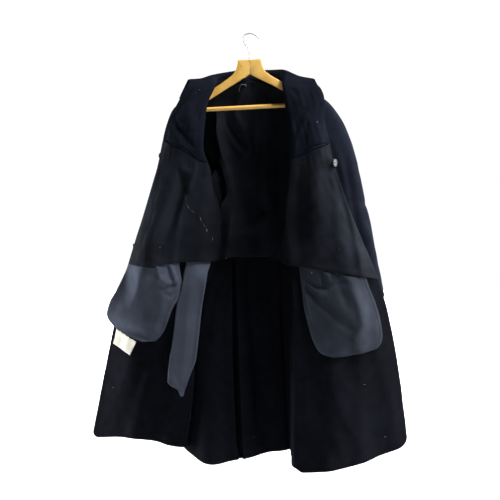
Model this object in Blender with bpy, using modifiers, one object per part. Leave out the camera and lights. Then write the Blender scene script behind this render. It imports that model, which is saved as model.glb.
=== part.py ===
"""An overcoat hung open on a wooden hanger, both fronts folded back outwards.

Metres, +Z up, the coat's front faces -Y. The origin is the inside top of the hook.
The tables below are in millimetres, in the drawing's own datum; DATUM puts the hook at the origin.
Suffix _r is the wearer's right (x < 0), _l the wearer's left (x > 0).
"""

import math

import bmesh
import bpy
import numpy as np

MM = 0.001
DATUM = (3.0, 0.0, 15.0)

# Cloth walls, and the air between layers.
MELTON, FACING, COLLAR, LINING, SATIN, DRILL, TAB = 2.5, 2.0, 3.0, 1.2, 1.0, 2.6, 0.8
LAYER_GAP, BAG_GAP, SEAM_GAP = 2.0, 3.4, 0.5
LINING_LIFT = 8.0  # how far the lining's free hem stands off the cloth behind it

# Front panels, one row per section. drop: length down the cloth. s: armhole edge, then side seam.
# f: the fold where the front turns back, of radius r. e: the free front edge.
# dip: how far the cloth just past the fold hangs down. bow, sag: how far the middle of the
# turned-back part stands forward, and hangs down.
FRONT_COLUMNS = "drop sx sy sz fx fy fz r dip bow sag ex ey ez"
FRONT = {
    "r": [
        (0, -226, -2, -241, -107, -12, -172, 6, 0, 0, 0, -187, -28, -166),
        (12, -226, -16, -251, -116, -21, -190, 8, 0, 2, 0, -199, -36, -183),
        (50, -212, -28, -300, -131, -30, -227, 10, 0, 4, 0, -220, -44, -226),
        (115, -190, -34, -345, -143, -45, -290, 12, 0, 6, 0, -254, -54, -291),
        (180, -165, -30, -410, -149, -58, -362, 14, 0, 6, 0, -270, -58, -349),
        (262, -128, 4, -480, -134, -50, -439, 24, 0, 4, 0, -290, -56, -439),
        (285, -124, 9, -497, -139, -50, -462, 28, 0, 4, 0, -297, -56, -462),
        (402, -98, 28, -590, -158, -45, -580, 50, 0, 6, 0, -333, -50, -579),
        (555, -112, 28, -735, -172, -38, -730, 50, 0, 8, 0, -384, -35, -733),
        (718, -176, 18, -892, -173, -36, -891, 22, 0, 12, 0, -433, 0, -898),
        (985, -214, 18, -1160, -185, -34, -1155, 12, 0, 16, 4, -502, 50, -1180),
        (1165, -238, 30, -1350, -206, -30, -1340, 10, 0, 14, -24, -543, 90, -1351),
    ],
    "l": [
        (0, 226, -2, -218, 101, -12, -160, 6, 0, 0, 0, 196, -28, -160),
        (12, 226, -16, -228, 103, -21, -176, 8, 0, 2, 0, 218, -36, -185),
        (50, 212, -28, -285, 106, -30, -206, 10, 0, 4, 0, 230, -42, -220),
        (115, 198, -34, -335, 118, -46, -278, 12, 0, 6, 0, 232, -54, -285),
        (180, 184, -30, -405, 127, -64, -362, 14, 0, 6, 0, 245, -62, -356),
        (262, 176, 15, -485, 127, -72, -433, 14, 0, 6, 0, 264, -66, -439),
        (285, 173, 20, -501, 125, -73, -456, 14, 0, 6, 0, 271, -66, -461),
        (402, 150, 38, -585, 112, -74, -572, 14, 0, 8, 0, 313, -62, -573),
        (555, 104, 38, -737, 134, -78, -725, 14, 0, 12, 0, 384, -45, -732),
        (718, 110, 28, -900, 137, -96, -880, 16, 0, 24, 4, 447, -10, -896),
        (985, 122, 6, -1162, 141, -118, -1130, 18, 6, 30, 8, 505, 25, -1172),
        (1165, 133, -10, -1358, 141, -135, -1364, 20, 16, 25, 6, 534, 50, -1346),
    ],
}
FRONT_U = (0.0, 0.25, 0.285, 0.32, 0.66, 1.0)  # s, into the fold, f, out of it, middle, e
FOLD_U = FRONT_U[2]

# Half backs. c: centre back seam. m: neck point, then mid panel. s: armhole edge, then side seam.
BACK_COLUMNS = "drop cx cy cz mx my mz sx sy sz"
BACK = {
    "r": [
        (0, 3, 42, -148, -108, 6, -171, -226, 2, -241),
        (12, 3, 46, -160, -110, 22, -187, -226, 16, -251),
        (50, 3, 55, -205, -108, 50, -235, -186, 46, -300),
        (115, 3, 62, -275, -78, 63, -300, -138, 58, -345),
        (180, 3, 66, -345, -60, 66, -370, -110, 54, -410),
        (262, 2, 65, -440, -58, 58, -455, -128, 4, -480),
        (285, 2, 65, -464, -57, 57, -477, -124, 9, -497),
        (402, 0, 60, -585, -48, 50, -587, -98, 28, -590),
        (555, -8, 52, -737, -58, 42, -736, -112, 28, -735),
        (718, -4, 34, -900, -92, 4, -896, -176, 18, -892),
        (985, 6, 2, -1165, -108, -38, -1163, -214, 18, -1160),
        (1165, 16, -25, -1374, -118, -75, -1383, -238, 30, -1350),
    ],
    "l": [
        (0, 3, 42, -148, 104, 6, -159, 226, 2, -218),
        (12, 3, 46, -160, 106, 22, -175, 226, 16, -228),
        (50, 3, 55, -205, 106, 48, -222, 206, 42, -285),
        (115, 3, 62, -275, 96, 60, -292, 188, 52, -335),
        (180, 3, 66, -345, 90, 65, -365, 176, 54, -405),
        (262, 2, 65, -440, 86, 66, -450, 176, 15, -485),
        (285, 2, 65, -464, 84, 66, -472, 173, 20, -501),
        (402, 0, 60, -585, 76, 62, -585, 150, 38, -585),
        (555, -8, 52, -737, 50, 52, -737, 104, 38, -737),
        (718, -4, 34, -900, 54, 40, -900, 110, 28, -900),
        (985, 6, 2, -1165, 64, 20, -1164, 122, 6, -1162),
        (1165, 16, -25, -1374, 76, 2, -1366, 133, -10, -1358),
    ],
}
BACK_U = (0.0, 0.45, 1.0)
UNDERARM = 262  # the drop at which front and back meet below the armhole

# Largest soft folds: across the panel at u (running on to u_low), from drop top to drop low,
# half as wide as width (in u), deep forward (+, to the wearer) or back (-).
FOLD_COLUMNS = "panel u u_low top low width deep"
FOLDS = [
    ("front_l", 0.50, 0.46, 560, 1300, 0.10, 12),
    ("front_l", 0.78, 0.80, 640, 1300, 0.10, -10),
    ("front_r", 0.72, 0.70, 600, 1300, 0.10, 10),
    ("front_r", 0.52, 0.50, 700, 1300, 0.07, -8),
    ("back_r", 0.30, 0.22, 600, 1300, 0.14, -10),
    ("back_l", 0.55, 0.60, 600, 1300, 0.18, 8),
]

# Sleeves below the head: level and middle of each ring, half width across, half depth.
SLEEVE_COLUMNS = "cx cy cz across deep"
SLEEVE = {
    "r": [
        (-205, 36, -535, 78, 50),
        (-226, 44, -640, 76, 48),
        (-247, 50, -740, 74, 46),
        (-278, 56, -850, 72, 43),
    ],
    "l": [
        (283, 10, -535, 84, 52),
        (313, 14, -640, 80, 50),
        (340, 20, -740, 76, 47),
        (370, 27, -850, 73, 43),
    ],
}

SLEEVE_HEAD = {"r": 0.62, "l": 0.95}  # how roundly the head stands out before it falls

# Collar from the wearer's right end to the left: the roll, and the edge of the fall behind it.
COLLAR_COLUMNS = "rx ry rz lx ly lz"
COLLAR_ROWS = [
    (-189, -20, -158, -226, 18, -212),
    (-157, -12, -155, -192, 36, -212),
    (-122, 0, -143, -150, 56, -206),
    (-106, 12, -138, -122, 68, -203),
    (-62, 31, -128, -76, 84, -197),
    (0, 47, -117, 0, 92, -190),
    (56, 31, -123, 72, 84, -191),
    (98, 12, -124, 116, 68, -195),
    (112, 0, -128, 142, 56, -198),
    (157, -12, -148, 190, 36, -200),
    (197, -20, -152, 232, 18, -200),
]

# Where the facing ends and the lining starts: places across the front, and the drop at each.
POCKET_LINE = {
    "r": ((0.285, 0.325, 0.38, 0.50, 0.59, 0.71, 0.80, 0.96, 1.0), (238, 229, 217, 206, 201, 193, 188, 176, 174)),
    "l": ((0.285, 0.35, 0.46, 0.60, 0.72, 0.87, 1.0), (226, 220, 211, 202, 195, 188, 180)),
}
# The lining's hem: its drop at the side seam, the fold, the middle and the front edge.
LINING_HEM = {"r": (550, 553, 562, 555), "l": (550, 567, 582, 606)}
BACK_LINING_HEM = 540

# Pocket bags, laid on the fronts: a row per level, with the inner and outer edge there.
BAG_COLUMNS = "z inner outer"
BAGS = {
    "r": [
        (-712, -206, -378),
        (-742, -204, -388),
        (-810, -222, -420),
        (-865, -243, -452),
        (-904, -256, -462),
        (-938, -268, -444),
        (-962, -281, -392),
        (-981, -300, -335),
    ],
    "l": [
        (-705, 152, 334),
        (-726, 152, 338),
        (-798, 160, 362),
        (-862, 168, 389),
        (-917, 180, 408),
        (-969, 195, 415),
        (-1004, 215, 396),
        (-1019, 250, 300),
    ],
}
# The long narrow bag hangs free from under the lining.
BATON_COLUMNS = "z left right y"
BATON = [
    (-700, -190, -124, -40),
    (-731, -193, -130, -44),
    (-804, -208, -141, -50),
    (-870, -233, -152, -54),
    (-940, -242, -160, -57),
    (-1004, -250, -167, -60),
    (-1040, -257, -172, -61),
    (-1091, -262, -191, -63),
    (-1111, -263, -198, -64),
    (-1126, -251, -203, -64),
    (-1137, -230, -208, -65),
    (-1158, -221, -214, -65),
]

# Welts of the outer pockets: level and ends.
POCKET_WELT = {"r": (-672, -230, -372), "l": (-668, 190, 340)}
POCKET_WELT_HIGH = 30
BREAST_WELT = {"r": (0.40, 0.965), "l": (0.40, 0.965)}
BREAST_WELT_HIGH = 12

# The bare cloth tab: middle, size and slope.
TAB_AT, TAB_SIZE, TAB_SLOPE = (-413, -996), (80, 45), -29

BUTTON_RADIUS, BUTTON_THICK, SHANK_RADIUS, SHANK_LONG = 12.5, 3.6, 3.0, 4.0
BUTTON_COLUMNS = "drop u inset turn"  # where the shank stands on the front, and which way the button faces in plan
BUTTONS = {"r": (222, 0.957, -2.6, 97), "l": (240, 0.985, 5.5, -38)}
BUTTON_OFF = 4.2  # from the cloth to the foot of the shank

VENT_WIDE, VENT_TOP = 44, 518

# Hanger, in its own upright frame: a half outline, then the tilt it hangs at.
HANGER_MIDDLE = (-2.5, -94.0)
HANGER_TILT = 3.0
HANGER_THICK = 12.0
HANGER_EASE = 2.0  # rounding of the wood's edges
HANGER_HALF = [
    (0.3, 0), (36, 0), (42, -28), (53, -43), (68, -54), (105, -77), (160, -107), (208, -133),
    (214, -142), (206, -155), (150, -127), (80, -88.7), (0.3, -45),
]
BAR_LEVEL, BAR_HALF, BAR_RADIUS = -143.0, 164.0, 6.5
HOOK_RADIUS = 2.0
HOOK = [
    (-2.5, -92.5), (-2.2, -72), (-6, -60), (-18, -43), (-21.3, -29), (-15.5, -17.5), (-3, -13), (9.5, -15), (20, -22), (28.5, -31),
]


def slopes(knots, values):
    """Slopes of a curve that never overshoots the rows of its table."""
    step = np.diff(knots)[:, None, None]
    rise = np.diff(values, axis=0) / step
    out = np.zeros_like(values)
    out[0], out[-1] = rise[0], rise[-1]
    before, after = rise[:-1], rise[1:]
    wa, wb = 2 * step[1:] + step[:-1], step[1:] + 2 * step[:-1]
    same = before * after > 0
    safe_before, safe_after = np.where(same, before, 1.0), np.where(same, after, 1.0)
    out[1:-1] = np.where(same, (wa + wb) / (wa / safe_before + wb / safe_after), 0.0)
    return out


def smooth(knots, values, at):
    """values (rows, points, 3) on knots, read at one place per point; straight beyond the ends."""
    knots = np.asarray(knots, float)
    at = np.asarray(at, float)
    slope = slopes(knots, values)
    row = np.clip(np.searchsorted(knots, at, side="right") - 1, 0, len(knots) - 2)
    point = np.arange(len(at))
    step = knots[row + 1] - knots[row]
    inside = np.clip(at, knots[0], knots[-1])
    t = ((inside - knots[row]) / step)[:, None]
    a, b = values[row, point], values[row + 1, point]
    sa, sb = slope[row, point] * step[:, None], slope[row + 1, point] * step[:, None]
    out = (2 * t**3 - 3 * t**2 + 1) * a + (t**3 - 2 * t**2 + t) * sa + (3 * t**2 - 2 * t**3) * b + (t**3 - t**2) * sb
    past = (at - inside)[:, None]
    end = np.where(past < 0, slope[0, point], slope[-1, point])
    return out + past * end


def table(columns, rows):
    return {name: np.array([row[i] for row in rows], float) for i, name in enumerate(columns.split())}


def triple(columns, letter):
    return np.stack([columns[letter + axis] for axis in "xyz"], axis=-1)


def unit(vector):
    return vector / np.maximum(np.linalg.norm(vector, axis=-1, keepdims=True), 1e-9)


def front_net(side):
    """The control net of a front: s, into the fold, f, out of the fold, middle, e."""
    t = table(FRONT_COLUMNS, FRONT[side])
    s, f, e = triple(t, "s"), triple(t, "f"), triple(t, "e")
    flat = np.array([1.0, 1.0, 0.0])
    to_s, to_e = unit((s - f) * flat), unit((e - f) * flat)
    both = to_s + to_e
    close = np.linalg.norm(both, axis=-1, keepdims=True) / 2
    inward = unit(both)
    across = np.stack([-inward[:, 1], inward[:, 0], 0 * inward[:, 0]], axis=-1)
    across *= np.sign((across * to_s).sum(axis=-1, keepdims=True))
    r = t["r"][:, None]
    near, far = f + r * (0.9 * close * inward + across), f + r * (0.9 * close * inward - across)
    near[:, 2] += (s - f)[:, 2] * (r[:, 0] / np.linalg.norm(s - f, axis=-1)).clip(0, 0.6)
    far[:, 2] += (e - f)[:, 2] * (r[:, 0] / np.linalg.norm(e - f, axis=-1)).clip(0, 0.6)
    far[:, 2] -= t["dip"]
    middle = (far + e) / 2 - np.stack([0 * t["bow"], t["bow"], t["sag"]], axis=-1)
    return t["drop"], np.stack([s, near, f, far, middle, e])


def back_net(side):
    t = table(BACK_COLUMNS, BACK[side])
    return t["drop"], np.stack([triple(t, "c"), triple(t, "m"), triple(t, "s")])


NETS = {}
for _side in "rl":
    NETS["front_" + _side] = (FRONT_U,) + front_net(_side)
    NETS["back_" + _side] = (BACK_U,) + back_net(_side)


def bare(panel, u, v):
    across, drops, net = NETS[panel]
    stations, rows = net.shape[:2]
    spread = np.repeat(net.reshape(stations, 1, rows * 3), len(u), axis=1)
    lines = smooth(across, spread, u).reshape(len(u), rows, 3).transpose(1, 0, 2)
    return smooth(drops, lines, v)


def step_up(low, high, x):
    t = np.clip((x - low) / (high - low), 0, 1)
    return t * t * (3 - 2 * t)


def fold_depth(panel, u, v):
    out = np.zeros(len(u))
    for name, fu, fu_low, top, low, width, deep in FOLDS:
        if name == panel:
            t = np.clip((v - top) / (low - top), 0, 1)
            middle = fu + (fu_low - fu) * t
            out += deep * step_up(top, top + 350, v) * np.exp(-(((u - middle) / width) ** 2))
    return out


def outward(panel, u, v):
    """Unit normals that point out of the coat."""
    du, dv = 0.004, 2.0
    along = bare(panel, u + du, v) - bare(panel, u - du, v)
    down = bare(panel, u, v + dv) - bare(panel, u, v - dv)
    return unit(np.cross(along, down)) * (1 if panel.endswith("_l") else -1)


def cloth_at(panel, u, v, inset=0.0):
    """Points on the panel's inner face, moved inset millimetres towards the wearer."""
    u, v = np.broadcast_arrays(np.asarray(u, float), np.asarray(v, float))
    shape = u.shape
    u, v = u.ravel(), v.ravel()
    inset = np.broadcast_to(np.asarray(inset, float), shape).ravel()
    points = bare(panel, u, v) - outward(panel, u, v) * (fold_depth(panel, u, v) + inset)[:, None]
    return points.reshape(shape + (3,))


def seat(panel, x, z, first):
    """The u and v of the panel at x and z, searched from u = first on."""
    x, z = np.broadcast_arrays(np.asarray(x, float), np.asarray(z, float))
    shape = x.shape
    x, z = x.ravel(), z.ravel()
    us = np.linspace(first, 1.16, 60)
    v = -z - 180.0
    for _ in range(12):
        lines = bare(panel, np.tile(us, len(x)), np.repeat(v, len(us))).reshape(len(x), len(us), 3)
        sign = np.sign(lines[:, -1, 0] - lines[:, 0, 0])
        u = np.array([np.interp(a * s, line[:, 0] * s, us) for a, s, line in zip(x, sign, lines)])
        now = bare(panel, u, v)
        v = v + (now[:, 2] - z)
    return u.reshape(shape), v.reshape(shape)


COLLECTION = "overcoat_on_hanger"


def material(name, colour, roughness, metallic=0.0):
    made = bpy.data.materials.new(name)
    made.use_nodes = True
    shader = made.node_tree.nodes["Principled BSDF"]
    shader.inputs["Base Color"].default_value = (*colour, 1.0)
    shader.inputs["Roughness"].default_value = roughness
    shader.inputs["Metallic"].default_value = metallic
    return made


def put(name, data, look):
    obj = bpy.data.objects.new(name, data)
    bpy.data.collections[COLLECTION].objects.link(obj)
    data.materials.append(look)
    obj.parent = bpy.data.objects["drawing_datum"]
    return obj


def sheet(name, points, wall, look, turn=False, grow=1.0, ring=False):
    """A grid laid through points (rows, columns, 3) in millimetres, thickened to one side.
    grow 1 thickens along the grid's normals and -1 against them; ring joins the last column to the first."""
    rows, columns = points.shape[:2]
    shape = bmesh.new()
    bmesh.ops.create_grid(shape, x_segments=columns - 1, y_segments=rows - 1, size=0.5)
    for vert in shape.verts:
        i = round((vert.co.x + 0.5) * (columns - 1))
        j = round((vert.co.y + 0.5) * (rows - 1))
        vert.co = points[j, i] * MM
    if ring:
        bmesh.ops.remove_doubles(shape, verts=shape.verts, dist=2e-5)
    if turn:
        bmesh.ops.reverse_faces(shape, faces=shape.faces)
    mesh = bpy.data.meshes.new(name)
    shape.to_mesh(mesh)
    shape.free()
    obj = put(name, mesh, look)
    thick = obj.modifiers.new("wall", "SOLIDIFY")
    thick.thickness = wall * MM
    thick.offset = grow
    thick.use_even_offset = False
    thick.use_rim = True
    return obj


def panel_sheet(name, panel, u, v, wall, look, inset=0.0, side_in=False):
    """A sheet on a panel: its shell grows out of the coat, a layer on it grows in."""
    points = cloth_at(panel, u, v, inset)
    return sheet(name, points, wall, look, turn=panel.endswith("_r"), grow=-1.0 if side_in else 1.0)


def grid(u, v):
    """u (columns) against v (rows)."""
    return np.meshgrid(np.asarray(u, float), np.asarray(v, float))


DROPS = (0, 12, 30, 55, 90, 130, 180, 220, 262, 285, 340, 402, 480, 555, 640, 718, 850, 985, 1075, 1165)
FRONT_ACROSS = (0.004, 0.12, 0.25, 0.268, 0.285, 0.302, 0.32, 0.42, 0.54, 0.66, 0.78, 0.89, 1.0)
BACK_ACROSS = (0.004, 0.17, 0.34, 0.51, 0.68, 0.85, 0.988)


def build_panels(looks):
    for side in "rl":
        u, v = grid(FRONT_ACROSS, DROPS)
        panel_sheet("front_" + side, "front_" + side, u, v, MELTON, looks["melton"])
        u, v = grid(BACK_ACROSS, DROPS)
        panel_sheet("back_" + side, "back_" + side, u, v, MELTON, looks["melton"])


def pocket_line(side, u):
    return np.interp(u, *POCKET_LINE[side])


def lining_hem(side, u):
    return np.interp(u, (0, FOLD_U, 0.66, 1.0), LINING_HEM[side])


def lift(v, hem):
    return LAYER_GAP + 0.2 + LINING_LIFT * step_up(hem - 170, hem - 30, v)


def build_inside(looks):
    for side in "rl":
        front = "front_" + side
        across = [u for u in FRONT_ACROSS if u > 0.26]
        across[-1] = 0.997
        upper = [1.0] + [v for v in DROPS if 0 < v < 150]
        u, v = grid(across, upper)
        t = np.linspace(0, 1, 4)[1:, None]
        v = np.concatenate([v, upper[-1] + t * (pocket_line(side, u[:1]) - SEAM_GAP - upper[-1])])
        u = np.tile(u[:1], (len(v), 1))
        panel_sheet("facing_" + side, front, u, v, FACING, looks["melton_inside"], LAYER_GAP, True)

        across = [0.05] + [u for u in FRONT_ACROSS if u > 0.05]
        across[-1] = 0.997
        u, t = grid(across, np.linspace(0, 1, 11))
        top = np.where(u < FOLD_U, np.interp(u, (0.05, FOLD_U), (UNDERARM + 16, pocket_line(side, FOLD_U))), pocket_line(side, u)) + SEAM_GAP
        hem = lining_hem(side, u)
        v = top + t * (hem - top)
        panel_sheet("lining_front_" + side, front, u, v, LINING, looks["lining"], lift(v, hem), True)

        first, last = BREAST_WELT[side]
        u, t = grid(np.linspace(first, last, 8), (-0.5, 0.5))
        v = pocket_line(side, u) + t * BREAST_WELT_HIGH
        panel_sheet("breast_welt_" + side, front, u, v, 1.5, looks["welt"], LAYER_GAP + FACING + 0.6, True)

        z, inner, outer = POCKET_WELT[side]
        x, t = grid(np.linspace(inner, outer, 7), (0, 1))
        u, v = seat(front, x, z - t * POCKET_WELT_HIGH, FRONT_U[3])
        points = cloth_at(front, u, v, -(MELTON + 2.0))
        sheet("pocket_welt_" + side, points, 2.0, looks["melton"], turn=side == "r", grow=1.0)

        bag = table(BAG_COLUMNS, BAGS[side])
        t = np.linspace(0, 1, 8)[None, :]
        x = bag["inner"][:, None] + (bag["outer"] - bag["inner"])[:, None] * t
        u, v = seat(front, x, bag["z"][:, None] + 0 * x, FRONT_U[3])
        sheet("pocket_bag_" + side, cloth_at(front, u, v, BAG_GAP), DRILL, looks["drill"], turn=side == "r", grow=-1.0)

    # One back lining, across both halves; its edges stop short of the armholes and side seams.
    drops = [0] + [v for v in DROPS if 20 < v < BACK_LINING_HEM] + [BACK_LINING_HEM]
    half = (0.0,) + BACK_ACROSS[1:-1] + (0.92,)
    u, v = grid(half, drops)
    v[0] = np.interp(u[0], (0, 0.3, 0.92), (3, 14, 18))
    inset = lift(v, BACK_LINING_HEM) + 3.5 * step_up(0.45, 0.85, u)
    right, left = cloth_at("back_r", u, v, inset), cloth_at("back_l", u, v, inset)
    left[:, 0] = right[:, 0] = (left[:, 0] + right[:, 0]) / 2
    whole = np.concatenate([right[:, :0:-1], left], axis=1)
    sheet("lining_back", whole, LINING, looks["lining"], grow=-1.0)

    drops = [VENT_TOP] + [v for v in DROPS if v > VENT_TOP]
    line = np.array(drops, float)
    width = np.linalg.norm(bare("back_r", 0.2 + 0 * line, line) - bare("back_r", 0 * line, line), axis=-1) / 0.2
    t, v = grid(np.linspace(0, 1, 4), drops)
    u = 0.006 + t * (VENT_WIDE / width)[:, None]
    panel_sheet("vent_underlap", "back_r", u, v, 2.0, looks["melton_inside"], LAYER_GAP, True)

    rows = table(BATON_COLUMNS, BATON)
    t = np.linspace(0, 1, 5)[None, :]
    x = rows["left"][:, None] + (rows["right"] - rows["left"])[:, None] * t
    z = rows["z"][:, None] + 0 * x
    free = np.stack([x, rows["y"][:, None] + 0 * x, z], axis=-1)
    u, v = seat("front_r", x[:2, ::-1], z[:2], 0.06)
    laid = cloth_at("front_r", u, v, BAG_GAP)[:, ::-1]
    free[:2] = laid
    sheet("baton_pocket", free, DRILL, looks["drill"], grow=-1.0)

    wide, high = TAB_SIZE
    a, b = grid(np.linspace(-wide / 2, wide / 2, 5), np.linspace(high / 2, -high / 2, 4))
    c, s = math.cos(math.radians(TAB_SLOPE)), math.sin(math.radians(TAB_SLOPE))
    u, v = seat("front_r", TAB_AT[0] + a * c - b * s, TAB_AT[1] + a * s + b * c, FRONT_U[3])
    sheet("cloth_tab", cloth_at("front_r", u, v, LAYER_GAP), TAB, looks["tab"], grow=-1.0)


def armhole(side, count):
    """The armhole's loop, from the shoulder down the front, under the arm and up the back, and the way out of the coat along it."""
    down = np.linspace(0, UNDERARM, 60)
    edges = [("front_" + side, 0 * down, down), ("back_" + side, 0 * down + 1, down[::-1])]
    front, back = (bare(*edge) for edge in edges)
    out_front, out_back = (outward(*edge) for edge in edges)
    loop = np.concatenate([front, back[1:]])
    out = np.concatenate([out_front, out_back[1:]])
    loop[0] = loop[-1] = (front[0] + back[-1]) / 2
    out[0] = out[-1] = out_front[0] + out_back[-1]
    out[59] = out_front[-1] + out_back[0]
    for _ in range(6):  # ease the turn at the shoulder and under the arm
        ring = np.concatenate([out[-2:-1], out, out[1:2]])
        out = unit(ring[:-2] + 2 * out + ring[2:])
    run = np.concatenate([[0], np.cumsum(np.linalg.norm(np.diff(loop, axis=0), axis=-1))])
    under = run[59]
    part = np.linspace(0, 1, count + 1)
    at = np.where(part < 0.5, part * 2 * under, under + (part - 0.5) * 2 * (run[-1] - under))
    return part, *(np.stack([np.interp(at, run, line[:, k]) for k in range(3)], axis=-1) for line in (loop, unit(out)))


def sleeve_rings(side, count, head=6, per=2):
    """Rings of a sleeve, from the armhole's loop down to the cuff."""
    way = 1 if side == "l" else -1
    part, loop, lap = armhole(side, count)
    angle = 2 * math.pi * part
    t = table(SLEEVE_COLUMNS, SLEEVE[side])

    def ring(cx, cy, cz, across, deep):
        return np.stack([cx + way * across * np.cos(angle), cy - deep * np.sin(angle), cz + 0 * angle], axis=-1)

    rings = [ring(*row) for row in SLEEVE[side]]
    out = unit(np.stack([way * (0.75 + 0.25 * np.cos(angle)), -0.25 * np.sin(angle), -0.75 + 0.15 * np.cos(angle)], axis=-1))
    start = loop + lap * (MELTON + SEAM_GAP + 1.8)
    reach = np.linalg.norm(rings[0] - start, axis=-1, keepdims=True)
    leave = out * reach * SLEEVE_HEAD[side]
    arrive = unit(rings[1] - rings[0]) * reach * 0.95
    rows = []
    for h in np.linspace(0, 1, head + 1)[:-1]:
        rows.append((2 * h**3 - 3 * h**2 + 1) * start + (h**3 - 2 * h**2 + h) * leave + (3 * h**2 - 2 * h**3) * rings[0] + (h**3 - h**2) * arrive)
    levels = np.arange(len(rings), dtype=float)
    stack = np.stack(rings)
    for level in np.linspace(0, len(rings) - 1, (len(rings) - 1) * per + 1):
        rows.append(smooth(levels, stack, level + 0 * angle))
    return np.stack(rows)


def ring_inset(rings, inset, way):
    """Each point of the rings moved in towards the sleeve's hollow."""
    closed = np.concatenate([rings[:, -2:-1], rings, rings[:, 1:2]], axis=1)
    along = closed[:, 2:] - closed[:, :-2]
    down = np.gradient(rings, axis=0)
    return rings - unit(np.cross(along, down)) * way * inset


def build_sleeves(looks):
    for side in "rl":
        way = 1 if side == "l" else -1
        rings = sleeve_rings(side, 16)
        sheet("sleeve_" + side, rings, MELTON, looks["melton"], turn=side == "r", grow=1.0, ring=True)
        inner = ring_inset(rings, 1.0, way)[1:9]
        sheet("sleeve_lining_" + side, inner, SATIN, looks["satin"], turn=side == "r", grow=-1.0, ring=True)


def collar_points(count=21):
    """Rows from the seam over the roll to the edge of the fall; columns from end to end."""
    t = table(COLLAR_COLUMNS, COLLAR_ROWS)
    roll, edge = triple(t, "r"), triple(t, "l")
    fronts = (1.0, 0.66, 0.34)
    seam = np.concatenate([
        bare("front_r", np.array(fronts), np.zeros(3)),
        bare("back_r", np.array([0.43, 0.22, 0.0]), np.zeros(3)),
        bare("back_l", np.array([0.22, 0.43]), np.zeros(2)),
        bare("front_l", np.array(fronts[::-1]), np.zeros(3)),
    ])
    seam[:, 2] += 2.5
    behind = unit((edge - roll) * np.array([1.0, 1.0, 0.0]))
    crown = roll + behind * 7.0 + np.array([0, 0, 1.5])
    over = roll + behind * 15.0 + np.array([0, 0, -7.0])
    low = roll * 0.45 + edge * 0.55 + behind * 5.0
    stand = (seam + roll) / 2 + np.array([0, 1.5, 0])
    profile = np.stack([seam, stand, roll, crown, over, low, edge])
    stations = len(COLLAR_ROWS)
    places = np.linspace(0, stations - 1, count)
    return np.stack([smooth(np.arange(float(stations)), np.repeat(row[:, None], count, axis=1), places) for row in profile])


def build_collar(looks):
    sheet("collar", collar_points(), COLLAR, looks["melton"], turn=False, grow=-1.0)


def turned(name, profile, steps, look):
    """A solid of revolution about Z; profile holds (radius, height) from the axis round to the axis."""
    mesh = bpy.data.meshes.new(name)
    shape = bmesh.new()
    verts = [shape.verts.new((r * MM, 0, h * MM)) for r, h in profile]
    for a, b in zip(verts, verts[1:]):
        shape.edges.new((a, b))
    shape.to_mesh(mesh)
    shape.free()
    obj = put(name, mesh, look)
    spin = obj.modifiers.new("turn", "SCREW")
    spin.axis = "Z"
    spin.steps = spin.render_steps = steps
    spin.use_merge_vertices = True
    spin.merge_threshold = 1e-5
    spin.use_normal_calculate = True
    return obj


def build_buttons(looks):
    r, k = BUTTON_RADIUS, BUTTON_THICK
    profile = [
        (0, 0), (SHANK_RADIUS, 0), (SHANK_RADIUS, SHANK_LONG), (r - 1.2, SHANK_LONG), (r, SHANK_LONG + 1.2),
        (r, SHANK_LONG + k - 1.2), (r - 1.0, SHANK_LONG + k), (r - 3.0, SHANK_LONG + k), (r - 4.2, SHANK_LONG + k - 1.0), (0, SHANK_LONG + k - 1.0),
    ]
    for side in "rl":
        drop, u, inset, turn = BUTTONS[side]
        edge = cloth_at("front_" + side, np.array([u]), np.array([float(drop)]), inset)[0]
        way = np.array([math.cos(math.radians(turn)), math.sin(math.radians(turn)), 0.0])
        obj = turned("button_" + side, profile, 24, looks["horn"])
        obj.location = (edge + way * (BUTTON_OFF - 0.6 * inset)) * MM
        obj.rotation_euler = (0.0, math.radians(90), math.radians(turn))


def build_loop(looks):
    path = [(-36, 38, -187), (-34, 36, -180), (-31, 33.2, -172), (-27, 32.4, -167.5), (-20, 34.2, -167), (-15, 36, -167.5), (-13, 37.6, -170)]
    line = bpy.data.curves.new("hanging_loop", "CURVE")
    line.dimensions = "3D"
    spline = line.splines.new("POLY")
    spline.points.add(len(path) - 1)
    for point, place in zip(spline.points, path):
        point.co = (place[0] * MM, place[1] * MM, place[2] * MM, 1.0)
    line.bevel_depth = 1.4 * MM
    line.bevel_resolution = 2
    line.use_fill_caps = True
    put("hanging_loop", line, looks["tape"])


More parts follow.
